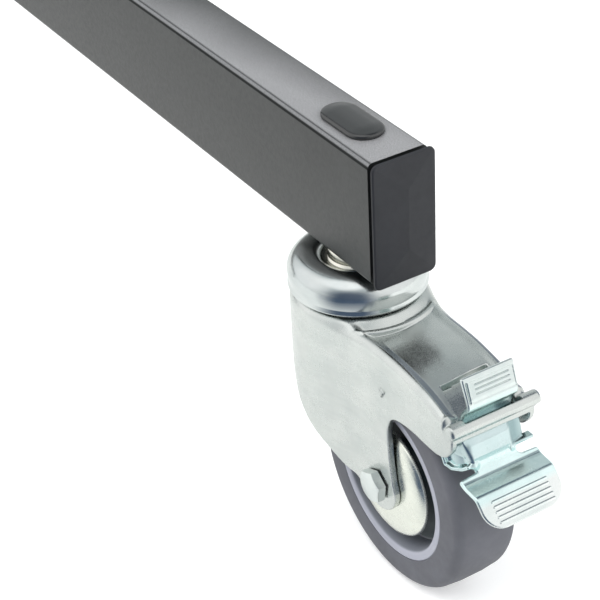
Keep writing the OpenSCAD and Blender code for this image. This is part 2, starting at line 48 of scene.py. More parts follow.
# Places of the part, in millimetres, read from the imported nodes
low, high = (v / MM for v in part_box("column_tube"))
BASE_X = (low.x + high.x) / 2
COLUMN_R = (high.x - low.x) / 2
low, high = (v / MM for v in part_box("castor_1_kingpin"))
CASTOR_R = (low.x + high.x) / 2 - BASE_X
LEG_Z = high.z
low, high = (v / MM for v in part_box("castor_1_tread"))
WHEEL_R = (high.z - low.z) / 2
WHEEL_W = high.y - low.y - 0.4
AXLE_X = (low.x + high.x) / 2 - BASE_X - CASTOR_R
AXLE_Z = WHEEL_R - LEG_Z
LEG_H, LEG_W = 55.0, 28.0
LEG_REACH = CASTOR_R + 36.5
CAP_PROUD = 0.8
LEGS = (1, 2, 3)


COLUMN = Matrix.Translation((BASE_X * MM, 0, 0))


def leg_matrix(i):
    """Leg i's frame: column axis on z, the leg along x."""
    return COLUMN @ Matrix.Rotation(math.radians(120 * (i - 1)), 4, "Z")


def castor_matrix(i):
    """Castor i's own frame: swivel axis on z, underside of the leg at z = 0."""
    return leg_matrix(i) @ Matrix.Translation((CASTOR_R * MM, 0, LEG_Z * MM))


# Turns a shape about z into one about the wheel's axle, its +z towards -y
AXLE = Matrix.Translation((AXLE_X, 0, AXLE_Z)) @ Matrix.Rotation(math.pi / 2, 4, "X")


# Materials


class Nodes:
    """Small helper that adds and links nodes in one tree."""

    def __init__(self, tree):
        self.tree = tree

    def new(self, kind, **values):
        node = self.tree.nodes.new(kind)
        for key, value in values.items():
            setattr(node, key, value)
        return node

    def link(self, a, b):
        self.tree.links.new(a, b)

    def ramp(self, value, stops):
        node = self.new("ShaderNodeValToRGB")
        elements = node.color_ramp.elements
        while len(elements) < len(stops):
            elements.new(0.5)
        for element, (at, color) in zip(elements, stops):
            element.position = at
            grey = isinstance(color, (int, float))
            element.color = (color, color, color, 1) if grey else (*color, 1)
        self.link(value, node.inputs["Fac"])
        return node.outputs["Color"]

    def mix(self, factor, a, b, blend="MIX"):
        node = self.new("ShaderNodeMix", data_type="RGBA", blend_type=blend)
        for socket, value in ((node.inputs["Factor"], factor), (node.inputs["A"], a), (node.inputs["B"], b)):
            if hasattr(value, "is_linked"):
                self.link(value, socket)
            elif isinstance(value, (int, float)):
                socket.default_value = value
            else:
                socket.default_value = (*value, 1)
        return node.outputs["Result"]

    def math(self, operation, a, b=0.0):
        node = self.new("ShaderNodeMath", operation=operation)
        for socket, value in zip(node.inputs, (a, b)):
            if hasattr(value, "is_linked"):
                self.link(value, socket)
            else:
                socket.default_value = value
        return node.outputs["Value"]

    def times(self, a, b):
        return self.math("MULTIPLY", a, b)

    def parts(self, vector):
        """Outputs X, Y and Z of a vector."""
        node = self.new("ShaderNodeSeparateXYZ")
        self.link(vector, node.inputs["Vector"])
        return node.outputs


class Shader(Nodes):
    """Nodes of a new material, placed by the object's own coordinates."""

    def __init__(self, name):
        self.material = bpy.data.materials.new(name)
        self.material.use_nodes = True
        super().__init__(self.material.node_tree)
        self.shader = self.tree.nodes["Principled BSDF"]
        self.place = self.new("ShaderNodeTexCoord").outputs["Object"]

    def noise(self, scale, detail=3.0, rough=0.55, stretch=None, distortion=0.0):
        node = self.new("ShaderNodeTexNoise")
        node.inputs["Scale"].default_value = scale
        node.inputs["Detail"].default_value = detail
        node.inputs["Roughness"].default_value = rough
        node.inputs["Distortion"].default_value = distortion
        source = self.place
        if stretch:
            mapping = self.new("ShaderNodeMapping")
            mapping.inputs["Scale"].default_value = stretch
            self.link(source, mapping.inputs["Vector"])
            source = mapping.outputs["Vector"]
        self.link(source, node.inputs["Vector"])
        return node.outputs["Fac"]

    def mottle(self, scale, detail, rough, color, dark, light):
        """Cloudy tint between two shares of a colour."""
        stops = [(0.35, tuple(c * dark for c in color)), (0.65, tuple(c * light for c in color))]
        return self.ramp(self.noise(scale, detail, rough), stops)

    def uneven(self, scale, value, less, more):
        """Value that varies between two shares of itself."""
        return self.ramp(self.noise(scale, 3, 0.6), [(0.35, value * less), (0.65, value * more)])

    def bump(self, height, strength, distance, under=None):
        node = self.new("ShaderNodeBump")
        node.inputs["Strength"].default_value = strength
        node.inputs["Distance"].default_value = distance * MM
        self.link(height, node.inputs["Height"])
        if under is not None:
            self.link(under, node.inputs["Normal"])
        return node.outputs["Normal"]

    def done(self, color=None, rough=None, normal=None, **values):
        for key, value in (("Base Color", color), ("Roughness", rough), ("Normal", normal)):
            if hasattr(value, "is_linked"):
                self.link(value, self.shader.inputs[key])
            elif value is not None:
                self.shader.inputs[key].default_value = (*value, 1) if key == "Base Color" else value
        for key, value in values.items():
            self.shader.inputs[key.replace("_", " ").title().replace("Ior", "IOR")].default_value = value
        return self.material


def zinc(name, light, dark, rough, wave, bands=(), painted_flank_shade=False, brush_and_flank_shade=0.0):
    """Bright zinc plate: cloudy tint, faint drawing streaks, fine crystal grain, slightly wavy sheet.

    Bands are (height, factor) pairs that vary the tint up the piece, partly with painted light that brightens
    the pedal and the tab. The shade flag paints shade on the right flank of the lever's body, and the brush
    setting gives the depth of the fine drawing lines across the fork and also turns on a painted dark
    reflection on the near ridge's inner flank.
    """
    n = Shader(name)
    spot = n.parts(n.place)
    tint = n.ramp(n.noise(40, 4, 0.6), [(0.35, dark), (0.62, light)])
    streaks = n.ramp(n.noise(1.0, 3, 0.6, stretch=(60, 60, 420)), [(0.42, 0.97), (0.6, 1.0)])
    color = n.mix(1.0, tint, streaks, "MULTIPLY")
    # Tint by height, partly painted light: brighter on the pedal and the tab of the lever
    if bands:
        # The ramp holds half of each factor, as its colours end at 1, and the result is doubled
        low, high = bands[0][0], bands[-1][0]
        level = n.math("DIVIDE", n.math("SUBTRACT", spot["Z"], low), high - low)
        half = [((z - low) / (high - low), tuple(c / 2 for c in tone)) for z, tone in bands]
        color = n.mix(1.0, color, n.ramp(level, half), "MULTIPLY")
        color = n.mix(1.0, color, (2.0, 2.0, 2.0), "MULTIPLY")
    if brush_and_flank_shade:
        # Painted dark reflection on the inner flank of the near ridge: it leans up and to +y, from 34 mm off
        # the swivel axis
        lean = n.parts(n.new("ShaderNodeTexCoord").outputs["Normal"])
        outward = n.ramp(n.times(spot["X"], 10.0), [(0.34, 0.0), (0.42, 1.0)])
        up = n.ramp(lean["Z"], [(0.5, 0.0), (0.75, 1.0)])
        painted_dark_reflection = n.times(n.ramp(lean["Y"], [(0.10, 0.0), (0.26, 1.0)]), n.times(up, outward))
        color = n.mix(n.times(painted_dark_reflection, 0.8), color, (0.11, 0.14, 0.19))
    if painted_flank_shade:
        # Painted shade on the right flank of the lever's body, about 7 to 14 mm to +y and 34 to 49 mm down
        across = n.ramp(n.times(spot["Y"], 50.0), [(0.33, 0.0), (0.40, 1.0), (0.52, 1.0), (0.70, 0.45)])
        up = n.ramp(n.times(spot["Z"], -12.5), [(0.42, 0.0), (0.45, 1.0), (0.595, 1.0), (0.61, 0.0)])
        color = n.mix(n.times(n.times(across, up), 0.6), color, (0.10, 0.20, 0.22))
    speck = n.noise(1900, 2, 0.6)
    roughness = n.ramp(n.math("ADD", n.times(n.noise(90, 3), 0.6), n.times(speck, 0.4)),
        [(0.35, rough * 0.8), (0.65, rough * 1.3)])
    sheet = n.bump(n.noise(110, 2, 0.5), wave, 0.3)
    if brush_and_flank_shade:
        sheet = n.bump(n.noise(1.0, 2, 0.6, stretch=(1500, 45, 160)), brush_and_flank_shade, 0.1, sheet)
    return n.done(color, roughness, n.bump(speck, 0.12, 0.06, sheet), metallic=1.0)


def powder_coat(name, color, rough, grain=0.5, dust_and_sheen=0.0):
    """Powder coat: fine orange peel, uneven in tone; with dust set, dust specks and painted sheen lighten the
    top, and a painted highlight runs along the rounded edges.
    """
    n = Shader(name)
    tone = n.mottle(35, 4, 0.6, color, 0.85, 1.2)
    peel = n.noise(1300, 2, 0.5)
    if dust_and_sheen:
        # Dust specks and painted sheen on faces that look up
        facing = n.parts(n.new("ShaderNodeNewGeometry").outputs["Normal"])
        lit = n.ramp(facing["Z"], [(0.90, 0.0), (1.0, 1.0)])
        specks = n.ramp(n.noise(2300, 3, 0.7), [(0.36, 0.45), (0.66, 1.0)])
        # More dust and painted sheen towards the leg's end and its near edge
        spot = n.parts(n.place)
        drift = n.math("ADD", n.times(spot["X"], 2.0), n.times(spot["Y"], -12.0))
        along = n.ramp(n.math("ADD", drift, n.times(n.noise(14, 2, 0.5), 0.2)), [(0.66, 0.14), (1.0, 1.0)])
        tone = n.mix(n.times(n.times(lit, specks), along), tone, (dust_and_sheen, dust_and_sheen, dust_and_sheen * 1.03))
        # Painted highlight on the rounded edges between side and top
        painted_edge_highlight = n.ramp(facing["Z"], [(0.50, 0.0), (0.62, 1.0), (0.84, 1.0), (0.91, 0.0)])
        tone = n.mix(n.times(painted_edge_highlight, specks), tone, (0.20, 0.205, 0.215))
    roughness = n.uneven(420, rough, 0.9, 1.12)
    wave = n.bump(n.noise(60, 2, 0.5), 0.12, 0.3)
    made = n.done(tone, roughness, n.bump(peel, grain, 0.08, wave), specular_ior_level=0.5)
    if dust_and_sheen:
        # The rounded corners carry a bright line between two dull ones
        level = n.ramp(facing["Z"], [(0.05, 0.5), (0.12, 0.06), (0.42, 0.08), (0.56, 1.0),
            (0.86, 1.0), (0.93, 0.1), (0.985, 0.12), (0.999, 0.5)])
        n.link(level, n.shader.inputs["Specular IOR Level"])
    return made


def plastic(name, color, rough, grain=0.25, shine=0.5):
    """Moulded plastic or rubber: matt spark-eroded grain with a faint mottle."""
    n = Shader(name)
    tone = n.mottle(30, 3, 0.6, color, 0.9, 1.1)
    roughness = n.uneven(300, rough, 0.9, 1.1)
    return n.done(tone, roughness, n.bump(n.noise(1500, 3, 0.6), grain, 0.06), specular_ior_level=shine)


def wheel_plastic(name, rim, web, rough):
    """Grey moulding whose web is darker than its rim ring: painted shade in the recess, with half shade
    between them.
    """
    n = Shader(name)
    spot = n.parts(n.place)
    dx = n.math("SUBTRACT", spot["X"], AXLE_X * MM)
    dz = n.math("SUBTRACT", spot["Z"], AXLE_Z * MM)
    radius = n.math("SQRT", n.math("ADD", n.times(dx, dx), n.times(dz, dz)))
    # Painted shade: dark web inside 31 mm from the axle, half shade out to 33 mm
    middle = tuple(0.3 * a + 0.5 * b for a, b in zip(web, rim))
    # Places on the ramp are shares of 40 mm from the axle
    tone = n.ramp(n.times(radius, 1 / (40 * MM)),
        [(0.772, web), (0.786, middle), (0.828, middle), (0.840, rim)])
    roughness = n.uneven(300, rough, 0.9, 1.1)
    return n.done(tone, roughness, n.bump(n.noise(1500, 3, 0.6), 0.1, 0.06), specular_ior_level=0.5)


def rubber_tread(name, color, rough):
    """Soft grey tread: mould marks along the run of the wheel and a fine matt bloom."""
    n = Shader(name)
    tone = n.mottle(45, 4, 0.65, color, 0.9, 1.08)
    roughness = n.uneven(260, rough, 0.92, 1.08)
    rings = n.noise(1.0, 2, 0.5, stretch=(20, 900, 20))
    grain = n.bump(n.noise(1800, 3, 0.6), 0.2, 0.06, n.bump(rings, 0.12, 0.1))
    return n.done(tone, roughness, grain, specular_ior_level=0.4)


# The brush setting also turns on a painted dark reflection on the inner flank of the fork's near ridge
ZINC_FORK = zinc("zinc_fork", (0.65, 0.675, 0.655), (0.57, 0.605, 0.59), 0.27, wave=0.35, brush_and_flank_shade=0.22)
ZINC_HEAD = zinc("zinc_head", (0.68, 0.71, 0.70), (0.58, 0.62, 0.62), 0.19, wave=0.12)
# The lever's tint runs up through pedal, bend, body and tab: partly its own tint, partly painted light that
# brightens the pedal and the tab; its body's right flank gets painted shade
ZINC_LEVER = zinc("zinc_lever", (0.60, 0.72, 0.73), (0.51, 0.64, 0.65), 0.22, wave=0.2,
    bands=((-0.066, (1.48, 1.26, 1.22)), (-0.0585, (1.44, 1.24, 1.20)), (-0.0565, (1.32, 1.30, 1.27)),
        (-0.050, (1.24, 1.24, 1.22)), (-0.046, (0.98, 0.97, 0.97)), (-0.0315, (1.0, 1.0, 1.0)),
        (-0.0295, (1.3, 1.32, 1.24)), (-0.0255, (1.3, 1.32, 1.26)), (-0.0225, (1.28, 1.13, 1.10))),
    painted_flank_shade=True)
ZINC_GUARD = zinc("zinc_guard", (0.84, 0.86, 0.78), (0.74, 0.76, 0.69), 0.26, wave=0.2)
ZINC_BOLT = zinc("zinc_bolt", (0.78, 0.82, 0.80), (0.68, 0.73, 0.72), 0.32, wave=0.1)
KINGPIN = zinc("kingpin_steel", (0.84, 0.82, 0.74), (0.72, 0.70, 0.62), 0.22, wave=0.1)
STEEL = zinc("bearing_steel", (0.62, 0.63, 0.64), (0.50, 0.51, 0.53), 0.16, wave=0.0)
CHROME = zinc("chromed_tube", (0.70, 0.71, 0.72), (0.64, 0.65, 0.67), 0.12, wave=0.05)
SPIGOT = zinc("spigot_steel", (0.66, 0.67, 0.66), (0.56, 0.57, 0.57), 0.24, wave=0.05)
# Its top gets dust and painted sheen, its rounded edges a painted highlight
COAT = powder_coat("black_powder_coat", (0.012, 0.0135, 0.0135), 0.34, dust_and_sheen=0.33)
CAST = powder_coat("cast_black", (0.022, 0.022, 0.024), 0.5, 0.8)
CAP = plastic("cap_plastic", (0.019, 0.020, 0.024), 0.48, shine=0.34)
PLUG = plastic("plug_rubber", (0.011, 0.0115, 0.012), 0.22, 0.08, shine=0.9)
KNOB = plastic("knob_black", (0.016, 0.016, 0.017), 0.38, 0.15)
# The second colour is painted shade on the wheel's web
WHEEL = wheel_plastic("wheel_plastic", (0.36, 0.37, 0.43), (0.035, 0.06, 0.068), 0.42)
TREAD = rubber_tread("tread_rubber", (0.115, 0.118, 0.135), 0.6)


# Mesh tools, all in millimetres


def arc(cx, cy, r, a0, a1, n=8):
    """Points on a circle from angle a0 to a1, in degrees."""
    turn = [math.radians(a0 + (a1 - a0) * k / n) for k in range(n + 1)]
    return [(cx + r * math.cos(t), cy + r * math.sin(t)) for t in turn]


def make_mesh(name, points, faces, material, sharp=35, normals=None):
    """Mesh from points in millimetres, its edges sharp beyond an angle in degrees."""
    mesh = bpy.data.meshes.new(name)
    mesh.from_pydata([tuple(map(float, p)) for p in np.asarray(points) * MM], [], faces)
    mesh.validate()
    mesh.shade_smooth()
    if normals is None:
        mesh.set_sharp_from_angle(angle=math.radians(sharp))
    else:
        mesh.normals_split_custom_set_from_vertices([tuple(map(float, n)) for n in normals])
    mesh.materials.append(material)
    return mesh


def put(name, mesh, matrix, body, slot, *nodes):
    """Adds a piece that rides on a body and stands in for the named solids."""
    piece = bpy.data.objects.new(name, mesh)
    bpy.context.scene.collection.objects.link(piece)
    piece.matrix_world = matrix
    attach(piece, body)
    if nodes:
        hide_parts(*nodes)
    return piece


class Builder:
    """Collects rings of points into one mesh."""

    def __init__(self):
        self.points, self.faces = [], []

    def loft(self, rings, closed=False, caps=True):
        """Joins rings of equally many points; caps close the first and last with one face each."""
        start, n = len(self.points), len(rings[0])
        for ring in rings:
            self.points.extend(ring)
        pairs = list(zip(range(len(rings)), range(1, len(rings)))) + ([(len(rings) - 1, 0)] if closed else [])
        for a, b in pairs:
            lower, upper = start + a * n, start + b * n
            for k in range(n):
                m = (k + 1) % n
                self.faces.append((lower + k, lower + m, upper + m, upper + k))
        if caps and not closed:
            self.faces.append(tuple(start + k for k in range(n))[::-1])
            self.faces.append(tuple(start + (len(rings) - 1) * n + k for k in range(n)))
        return self

    def turned(self, profile, matrix=None, n=96, closed=True):
        """Revolves (radius, height) points about z. A closed profile makes a ring."""
        rings = []
        for r, z in profile:
            rings.append([(r * math.cos(TAU * k / n), r * math.sin(TAU * k / n), z) for k in range(n)])
        return self.add(rings, matrix, closed=closed, caps=not closed)

    def add(self, rings, matrix=None, **options):
        if matrix is not None:
            rings = [[tuple(matrix @ Vector(p)) for p in ring] for ring in rings]
        return self.loft(rings, **options)

    def hexagon(self, af, h, matrix, n=72, chamfer=0.94, both=False):
        """Hexagon head with the curved chamfer that a turned hexagon has, on z from 0 to h."""
        flat = af / 2

        def reach(k):
            turn = (math.degrees(TAU * k / n) + 30) % 60 - 30
            return flat / math.cos(math.radians(turn))

        def ring(r_of, z_of):
            turns = [TAU * k / n for k in range(n)]
            return [(r_of(k) * math.cos(t), r_of(k) * math.sin(t), z_of(k)) for k, t in enumerate(turns)]

        top = [ring(reach, lambda k: h - (reach(k) - flat * chamfer) * 0.5),
            ring(lambda k: flat * chamfer, lambda k: h)]
        foot = [ring(reach, lambda k: 0)]
        if both:
            foot = [ring(lambda k: flat * chamfer, lambda k: 0),
                ring(reach, lambda k: (reach(k) - flat * chamfer) * 0.5)]
        return self.add(foot + top, matrix)

    def mesh(self, name, material, sharp=35):
        return make_mesh(name, self.points, self.faces, material, sharp)


def mirrored(profile):
    """Profile followed by its mirror image in height."""
    return profile + [(r, -z) for r, z in profile[::-1]]


def rounded_box(h, w, r, n=8):
    """Outline in the y-z plane of a tube h high and w wide, its centre at the origin."""
    a, b = w / 2 - r, h / 2 - r
    return (arc(a, b, r, 0, 90, n) + arc(-a, b, r, 90, 180, n)
        + arc(-a, -b, r, 180, 270, n) + arc(a, -b, r, 270, 360, n))


def inset(outline, d):
    """Outline moved in by d along its mitred corners."""
    points, out = np.array(outline, float), []
    for k in range(len(points)):
        a, b = points[k] - points[k - 1], points[(k + 1) % len(points)] - points[k]
        na, nb = np.array([-a[1], a[0]]) / np.hypot(*a), np.array([-b[1], b[0]]) / np.hypot(*b)
        m = (na + nb) / np.hypot(*(na + nb))
        out.append(tuple(points[k] + m * d / max(m @ na, 0.3)))
    return out


# Shapes from distance fields, for the pressed and cast pieces


def smooth_max(a, b, r):
    """Intersection with its edge rounded to radius r."""
    u, v = np.maximum(a + r, 0), np.maximum(b + r, 0)
    return np.minimum(np.maximum(a, b), -r) + np.sqrt(u * u + v * v)


def smooth_min(a, b, r):
    """Union with its inner corner filleted to radius r."""
    return -smooth_max(-a, -b, r)


def step(x, a, b):
    """Smooth rise from 0 at a to 1 at b."""
    t = np.clip((x - a) / (b - a), 0, 1)
    return t * t * (3 - 2 * t)


def bell(x, at, width):
    """Smooth hump of height 1."""
    return np.exp(-(((x - at) / width) ** 2))


def outline_distance(x, y, outline):
    """Signed distance to a closed outline, negative inside."""
    best, sign = None, 1.0
    for (ax, ay), (bx, by) in zip(outline, outline[-1:] + outline[:-1]):
        ex, ey = bx - ax, by - ay
        if abs(ex) + abs(ey) < 1e-6:
            continue
        wx, wy = x - ax, y - ay
        t = np.clip((wx * ex + wy * ey) / (ex * ex + ey * ey), 0, 1)
        d = (wx - ex * t) ** 2 + (wy - ey * t) ** 2
        best = d if best is None else np.minimum(best, d)
        over, under, side = y >= ay, y < by, ex * wy > ey * wx
        flip = (over & under & side) | (~over & ~under & ~side)
        sign = np.where(flip, -sign, sign)
    return sign * np.sqrt(best)


def path_distance(x, y, path):
    """Distance to an open path, with the length along it of the nearest point and the side."""
    best = run = side = None
    length = 0.0
    for (ax, ay), (bx, by) in zip(path, path[1:]):
        ex, ey = bx - ax, by - ay
        whole = math.hypot(ex, ey)
        wx, wy = x - ax, y - ay
        t = np.clip((wx * ex + wy * ey) / whole**2, 0, 1)
        d = np.sqrt((wx - ex * t) ** 2 + (wy - ey * t) ** 2)
        at, on = length + t * whole, np.sign(ex * wy - ey * wx)
        if best is None:
            best, run, side = d, at, on
        else:
            near = d < best
            best, run, side = np.where(near, d, best), np.where(near, at, run), np.where(near, on, side)
        length += whole
    return best, run, side


def curve(points, n=6):
    """Smooth line through the points."""
    p = np.array([points[0]] + list(points) + [points[-1]], float)
    out = []
    for k in range(1, len(p) - 2):
        for t in np.arange(n) / n:
            a, b, c, d = p[k - 1], p[k], p[k + 1], p[k + 2]
            out.append(tuple(0.5 * (2 * b + (c - a) * t + (2 * a - 5 * b + 4 * c - d) * t**2
                + (3 * b - 3 * c + d - a) * t**3)))
    return out + [tuple(points[-1])]


def bent(points, r, n=5):
    """Path with its corners rounded to radius r."""
    out = [points[0]]
    for a, b, c in zip(points, points[1:], points[2:]):
        a, b, c = (np.array(p, float) for p in (a, b, c))
        u, v = (a - b) / np.hypot(*(a - b)), (c - b) / np.hypot(*(c - b))
        half = math.acos(max(-1, min(1, u @ v))) / 2
        cut = min(r / math.tan(half), np.hypot(*(a - b)) * 0.48, np.hypot(*(c - b)) * 0.48)
        for k in range(n + 1):
            t = k / n
            out.append(tuple(b + u * cut * (1 - t) ** 2 + v * cut * t**2))
    return out + [points[-1]]


def field_mesh(name, field, lo, hi, h, material):
    """Surface of a distance field: one point in each cell that it crosses, moved onto the surface."""
    count = [int(math.ceil((b - a) / h)) + 1 for a, b in zip(lo, hi)]
    axes = [np.float32(a) + np.float32(h) * np.arange(c, dtype=np.float32) for a, c in zip(lo, count)]
    values = field(axes[0][:, None, None], axes[1][None, :, None], axes[2][None, None, :])
    d = np.ascontiguousarray(np.broadcast_to(values, count), dtype=np.float32)
    inside = d < 0
    cells = [c - 1 for c in count]
    total = np.zeros(cells, np.uint8)
    for i in (0, 1):
        for j in (0, 1):
            for k in (0, 1):
                total += inside[i:i + cells[0], j:j + cells[1], k:k + cells[2]]
    # One point in each crossed cell, at the mean of the crossings on its edges
    cell = np.argwhere((total > 0) & (total < 8))
    index = np.full(cells, -1, np.int64)
    index[tuple(cell.T)] = np.arange(len(cell))
    place, hits = np.zeros((len(cell), 3)), np.zeros(len(cell))
    for axis in range(3):
        for a in (0, 1):
            for b in (0, 1):
                p = cell.copy()
                p[:, (axis + 1) % 3] += a
                p[:, (axis + 2) % 3] += b
                q = p.copy()
                q[:, axis] += 1
                dp, dq = d[tuple(p.T)].astype(float), d[tuple(q.T)].astype(float)
                met = (dp < 0) != (dq < 0)
                spot = p.astype(float)
                spot[met, axis] += dp[met] / (dp[met] - dq[met])
                place[met] += spot[met]
                hits[met] += 1
    points = np.array(lo) + h * place / hits[:, None]
    # One quad around each crossed edge
    faces = []
    for axis in range(3):
        b, c = (axis + 1) % 3, (axis + 2) % 3
        first = np.take(inside, range(count[axis] - 1), axis)
        second = np.take(inside, range(1, count[axis]), axis)
        e = np.argwhere(first != second)
        e = e[(e[:, b] > 0) & (e[:, c] > 0) & (e[:, b] < cells[b]) & (e[:, c] < cells[c])]
        ub, uc = np.eye(3, dtype=int)[b], np.eye(3, dtype=int)[c]
        quad = np.stack([index[tuple(w.T)] for w in (e, e - ub, e - ub - uc, e - uc)], 1)
        out = first[tuple(e.T)]
        faces.append(np.where(out[:, None], quad, quad[:, ::-1]))

    def gradient(p, e=0.04):
        parts = []
        for k in range(3):
            s = np.zeros(3)
            s[k] = e
            parts.append((field(*(p + s).T) - field(*(p - s).T)) / (2 * e))
        return np.stack(parts, 1)

    # Draw the points onto the surface
    for _ in range(4):
        g = gradient(points)
        move = g * (field(*points.T) / np.maximum((g * g).sum(1), 0.05))[:, None]
        far = np.maximum(np.linalg.norm(move, axis=1) / (0.4 * h), 1)
        points = points - move / far[:, None]
    g = gradient(points)
    normals = g / np.maximum(np.linalg.norm(g, axis=1), 1e-6)[:, None]
    return make_mesh(name, points, np.concatenate(faces).tolist(), material, normals=normals)


# Castor: swivel head, kingpin and fork, in the castor's own frame

CROWN_Z, CROWN_R = -19.8, 29.0
FORK_HALF, FORK_T = 20.0, 2.5
NOSE_X = AXLE_X + 53
PIN_X, PIN_Z = AXLE_X + 42.5, CROWN_Z - 19.8
LIP_X, LIP_Z, LIP_R = NOSE_X - 2.6, CROWN_Z - 13.6, 3.2

head_mesh = Builder().turned(
    [(9.2, -10.2), (9.2, -8.0), (13.9, -8.0)]
    + arc(18.3, -6.4, 3.2, 200, 90, 8)[1:]
    + arc(21.2, -11.6, 8.4, 90, 4, 14)
    + [(29.35, -13.5)] + arc(30.2, -15.4, 1.0, 160, 200, 4) + arc(28.75, -17.15, 0.85, 20, -90, 6)
    + [(27.4, -18.0), (27.4, -11.2)] + arc(21.6, -11.2, 5.8, 0, 90, 8) + arc(18.3, -6.2, 0.9, 90, 200, 5)
    + [(16.6, -9.2), (15.6, -10.2)], n=128).mesh("head", ZINC_HEAD, 50)

kingpin_mesh = Builder().turned(
    [(6.1, -26.0), (6.1, -0.4), (6.5, 0), (11.6, 0), (12.2, -0.3), (12.5, -0.9), (12.5, -4.4)]
    + [(13.2, -5.2), (13.5, -5.6), (13.5, -7.6), (13.1, -8.0), (9.0, -8.0), (9.0, -22.7), (12.6, -22.7)]
    + [(13.0, -23.1), (13.0, -25.3), (12.6, -25.7), (8.0, -25.7)], n=96).mesh("kingpin", KINGPIN, 40)

RIDGE = curve([(-35, CROWN_Z - 2.5), (12, CROWN_Z - 2.4), (24, CROWN_Z - 2.2), (31, CROWN_Z - 2.6),
    (AXLE_X + 8, CROWN_Z - 2.9), (AXLE_X + 20, CROWN_Z - 3.8), (AXLE_X + 33, CROWN_Z - 6.2),
    (AXLE_X + 43, CROWN_Z - 9.6), (AXLE_X + 49.5, CROWN_Z - 12.6), (AXLE_X + 60, CROWN_Z - 17.5)], 8)
RIDGE_X, RIDGE_Z = (np.array(v) for v in zip(*RIDGE))
TANGENT = math.degrees(math.atan2(FORK_HALF, 33) + math.acos(CROWN_R / math.hypot(33, FORK_HALF)))
FLARE = bent([(NOSE_X, FORK_HALF), (33, FORK_HALF), arc(0, 0, CROWN_R, TANGENT, TANGENT, 1)[0]], 60, 10)
PLAN = (FLARE + arc(0, 0, CROWN_R, TANGENT, 360 - TANGENT, 40)[1:-1] + [(x, -y) for x, y in FLARE[::-1]])
SIDE = ([(-CROWN_R - 4, 8), (NOSE_X + 4, 8), (NOSE_X + 4, CROWN_Z - 12), (NOSE_X - 0.6, CROWN_Z - 15.6)]
    + curve([(93.4, -38.8), (93.0, -41.0), (91.4, -43.6), (89.2, -46.1), (86, -47.7), (82, -48.5),
        (76, -48.4), (68, -47.9), (62, -48.1), (56.6, -49.0), (53.2, -50.4), (50.6, -53.0),
        (49.2, -56.6), (48.9, -60), (49.3, -68), (50.3, -77), (51.6, -84.5)], 3)
    + arc(AXLE_X, AXLE_Z, 12.3, 5, -110, 14)
    + curve([(AXLE_X - 14, AXLE_Z - 3.5), (AXLE_X - 20, AXLE_Z - 1.5), (AXLE_X - 28, AXLE_Z + 4),
        (AXLE_X - 38, AXLE_Z + 12), (AXLE_X - 48, AXLE_Z + 22), (AXLE_X - 57, AXLE_Z + 39),
        (-CROWN_R + 5, AXLE_Z + 47), (-CROWN_R - 4, AXLE_Z + 50)], 4))
SLOT = [(AXLE_X + 30.8, -8.9), (LIP_X + 0.4, -12.2), (LIP_X + 0.4, 13.8), (AXLE_X + 30.4, 12.3)]
DIMPLE = [(43.8, -39.2), (48.0, -40.4), (45.6, -43.6)]


def fork_field(x, y, z):
    """Pressed sheet: a top sunk between two ridges, a round crown, side plates, lip, slot and leaf."""
    plan = outline_distance(x, y, PLAN)
    ridge = np.interp(x, RIDGE_X, RIDGE_Z)
    slope = np.interp(x + 0.5, RIDGE_X, RIDGE_Z) - np.interp(x - 0.5, RIDGE_X, RIDGE_Z)
    lean = 1 / np.sqrt(1 + slope**2)
    rho = np.sqrt(x * x + y * y)
    # Top: sunk inside the ridges, with a dip and a rise across it behind the lip, level at the crown
    sunk = (1.25 - 0.55 * np.tanh(y / 6)) * step(-plan, 3.0, 7.0) * step(x, 14, 26)
    sunk = sunk + 1.1 * bell(x, AXLE_X + 48.2, 1.5) - 1.0 * bell(x, AXLE_X + 45.2, 1.0)
    crown = 1 - step(rho, 27.2, 32.8)
    top = (ridge - sunk) * (1 - crown) + CROWN_Z * crown
    body = smooth_max(plan, (z - top) * lean, 3.8)
    bead = smooth_max(np.sqrt((rho - 33.6) ** 2 + (z - CROWN_Z + 3.3) ** 2) - 1.4, plan + 3.0, 0.8)
    body = smooth_min(body, bead, 0.8)
    # Sheet: hollow below, open at the front, with the lip rolled across the opening
    sheet = np.maximum(body, -(body + FORK_T + 0.5 * step(rho, 30, 44)))
    mouth = np.maximum(np.maximum(NOSE_X - 8 - x, z - (CROWN_Z - 18.5)), np.abs(y) - 17.4)
    sheet = smooth_max(sheet, -mouth, 0.5)
    lip = smooth_max(np.sqrt((x - LIP_X) ** 2 + (z - LIP_Z) ** 2) - LIP_R, np.abs(y - 1.1) - 21.5, 1.4)
    sheet = smooth_min(sheet, lip, 0.9)
    slot = np.maximum(outline_distance(x, y, SLOT) - 0.6, -45 - z)
    sheet = smooth_max(sheet, -slot, 0.35)
    # Leaf that shows through the slot
    inside = np.maximum(np.maximum(68 - x, x - 85.4), np.abs(y) - 15)
    sheet = np.minimum(sheet, smooth_max(np.abs(z - top + 3.6) - 0.5, inside, 0.3))
    # Cut to the side outline, bored for the kingpin, with a punched dimple in the near side plate
    sheet = smooth_max(sheet, outline_distance(x, z, SIDE), 0.6)
    sheet = np.maximum(sheet, np.minimum(9.3 - rho, z + 30))
    punch = smooth_max(outline_distance(x, z, DIMPLE), -20.9 - y - 0.16 * (x - 46), 0.2)
    return smooth_min(sheet, smooth_max(punch, y + 19, 0.2), 0.3)


fork_mesh = field_mesh("fork", fork_field, (-31.5, -31, -107.5), (97.5, 31, -17), 0.66, ZINC_FORK)


# Castor: wheel and its fastenings

